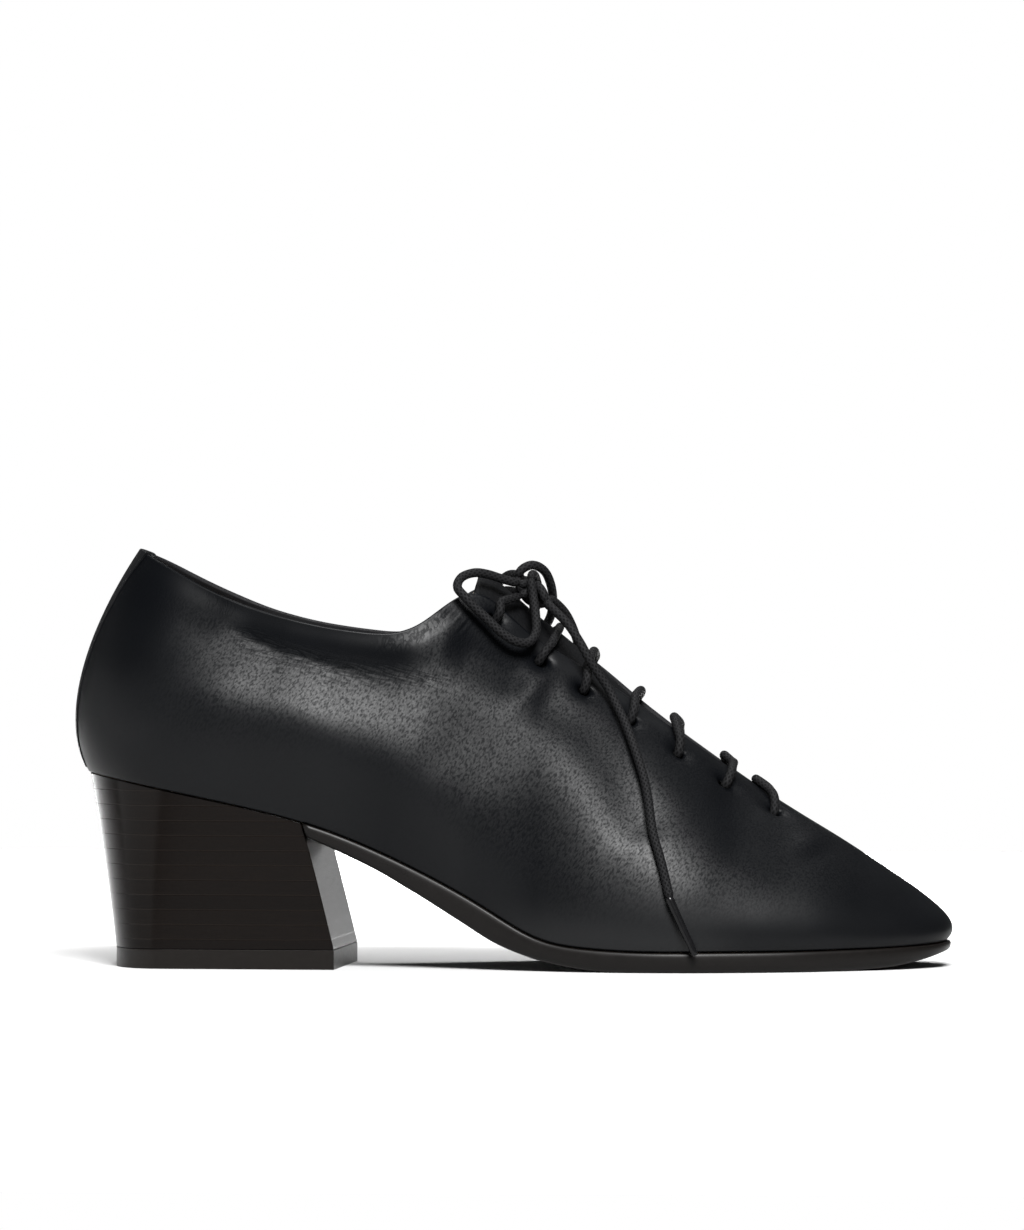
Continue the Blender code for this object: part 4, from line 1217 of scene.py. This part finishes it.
KNOT_TURNS = [
    [(2.4, -4.6, 105.2), (5.0, -3.2, 106.6), (7.8, 0.4, 107.2), (8.4, 3.6, 105.6), (6.8, 4.4, 103.2)],
    [(3.4, 5.8, 105.8), (4.6, 3.4, 108.0), (6.6, -0.6, 108.6), (8.8, -3.4, 106.6), (9.8, -4.2, 103.4)],
    [(5.6, -5.4, 110.2), (6.0, -2.6, 111.4), (6.6, 1.4, 110.6), (7.2, 4.4, 107.6), (7.2, 4.0, 103.8),
     (6.6, 0.4, 101.8), (6.0, -3.2, 102.8)],
    [(1.2, 1.6, 110.6), (2.4, 1.0, 107.6), (4.4, 0.2, 104.4), (7.4, -0.8, 103.0), (10.0, 1.4, 103.6),
     (10.4, 3.4, 104.6)],
    [(2.2, -4.6, 108.8), (4.4, -2.6, 108.6), (5.4, 1.8, 109.0), (2.8, 6.4, 109.9)],
]


def smooth_line(points, step):
    """A line through the points, with even steps of about the given length."""
    points = [np.array(p, float) for p in points]
    padded = [2 * points[0] - points[1], *points, 2 * points[-1] - points[-2]]
    line = []
    for a, b, c, d in zip(padded, padded[1:], padded[2:], padded[3:]):
        for t in spread(0.0, 1.0, 17)[:-1]:
            line.append(0.5 * (2 * b + (c - a) * t + (2 * a - 5 * b + 4 * c - d) * t * t
                               + (3 * b - a - 3 * c + d) * t ** 3))
    line = np.array(line + [points[-1]])
    gone = gone_along(line)
    even = np.linspace(0.0, gone[-1], max(4, round(gone[-1] / step)))
    return np.array([np.interp(even, gone, line[:, k]) for k in range(3)]).T


def line_length(line):
    return float(gone_along(line)[-1])


def tube_rings(line, radii):
    """Rings of points round a line, carried along it without twist."""
    ways = unit(np.gradient(line, axis=0))
    side = np.cross(ways[0], (0.3, 0.9, 0.2))
    rings = []
    for point, way, radius in zip(line, ways, radii):
        side = unit(side - way * side.dot(way))
        over = np.cross(way, side)
        rings.append([point + radius * (side * math.cos(a) + over * math.sin(a))
                      for a in spread(0.0, 2 * math.pi, LACE_SIDES + 1)])
    return np.array(rings)


def tube_mesh(line, radii):
    """A closed tube; its UV map runs in millimetres along it and once round it."""
    bm = grid_mesh(tube_rings(line, radii))
    layer = bm.loops.layers.uv.active
    length = line_length(line)
    for face in bm.faces:
        for loop in face.loops:
            loop[layer].uv.x *= length
    return close_ends(bm)


def rounded_off(radii, shares):
    """The radii, less at both ends by the shares."""
    for i, share in enumerate(shares):
        radii[i] *= share
        radii[-1 - i] *= share
    return radii


def cord_mesh(line):
    return tube_mesh(line, rounded_off(np.full(len(line), LACE_RADIUS), CORD_ENDS))


def build_strand(name, route, replaced):
    line = smooth_line(route, LACE_STEP)
    return finish_piece(name, cord_mesh(line), [LACE_CORD], replaced), line


def through_eyelet(side, index, lean=0.0):
    """The cord's line on one side: up through the eyelet and over the facing edge, with a lean."""
    u, v = eyelet(side, index)
    line = [off_wall(side, u, v, -BAR_END), off_wall(side, u, v, -BAR_SUNK)]
    for share in (0.28, 0.62, 1.0):
        place = row_at_top_x(side, EYELET_X[index] + lean * share)
        height = v + (1 - v) * share
        line.append(off_wall(side, place, height, BAR_CLEAR))
    return [p + CENTRE for p in line]


def build_lace_bars():
    for index, bar in enumerate(BARS):
        outer = through_eyelet(OUTER, index, bar.near)
        inner = through_eyelet(INNER, index, bar.far)
        edges = [through_eyelet(side, index, bar.crest)[-1] for side in (OUTER, INNER)]
        top = (edges[0] + edges[1]) / 2 + np.array([0.0, 0.0, bar.rise])
        if np.linalg.norm(outer[-1] - inner[-1]) < NARROW_THROAT:
            outer.pop()
            inner.pop()
        build_strand(f"lace_across_{index + 1}", outer + [top] + inner[::-1], [f"lace_bar_{index + 1}"])


def build_knot():
    whole = bmesh.new()
    for route in KNOT_TURNS:
        bm = cord_mesh(smooth_line(route, LACE_STEP))
        turn = bpy.data.meshes.new("knot_turn")
        bm.to_mesh(turn)
        bm.free()
        whole.from_mesh(turn)
        bpy.data.meshes.remove(turn)
    return finish_piece("lace_knot_turns", whole, [LACE_CORD], ["lace_knot"])


def build_aglet(name, route, replaced):
    """A hard tip that grips the last of its cord."""
    first = np.array(route[0])
    start = first + AGLET_GRIP * unit(first - np.array(route[1]))
    line = smooth_line([tuple(start)] + route[1:], AGLET_STEP)
    radii = rounded_off(AGLET_RADIUS * np.linspace(1.0, AGLET_TAPER, len(line)), AGLET_ENDS)
    return finish_piece(name, tube_mesh(line, radii), [AGLET_PLASTIC], replaced)


def declare_cord(obj, line):
    path = [tuple(p * MM) for p in line]
    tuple(path[0])
    line_length(line) * MM


def build_lace():
    build_lace_bars()
    top = EYELET_COUNT - 1
    build_strand("lace_from_eyelet_outer", through_eyelet(OUTER, top) + OUTER_LEAD_TO, ["lace_lead_outer"])
    build_strand("lace_from_eyelet_inner", through_eyelet(INNER, top) + INNER_LEAD_TO, ["lace_lead_inner"])
    knot = build_knot()
    loop, line = build_strand("bow_loop_outer", OUTER_LOOP, ["lace_loop_outer"])
    declare_cord(loop, line)
    loop, line = build_strand("bow_loop_inner", INNER_LOOP, ["lace_loop_inner"])
    declare_cord(loop, line)
    for name, route, tip in (("outer", OUTER_END, OUTER_AGLET), ("inner", INNER_END, INNER_AGLET)):
        aglet = build_aglet(f"lace_tip_{name}", tip, [f"aglet_{name}"])
        end, line = build_strand(f"lace_hanging_{name}", route, [f"lace_end_{name}"])
        declare_cord(end, line)


# Making of the shoe

set_camera()
light_studio()
lay_floor()
build_lace()
build_upper()
build_tongue()
build_back_strip()
build_insole()
build_outsole()
build_heel()
build_top_lift()
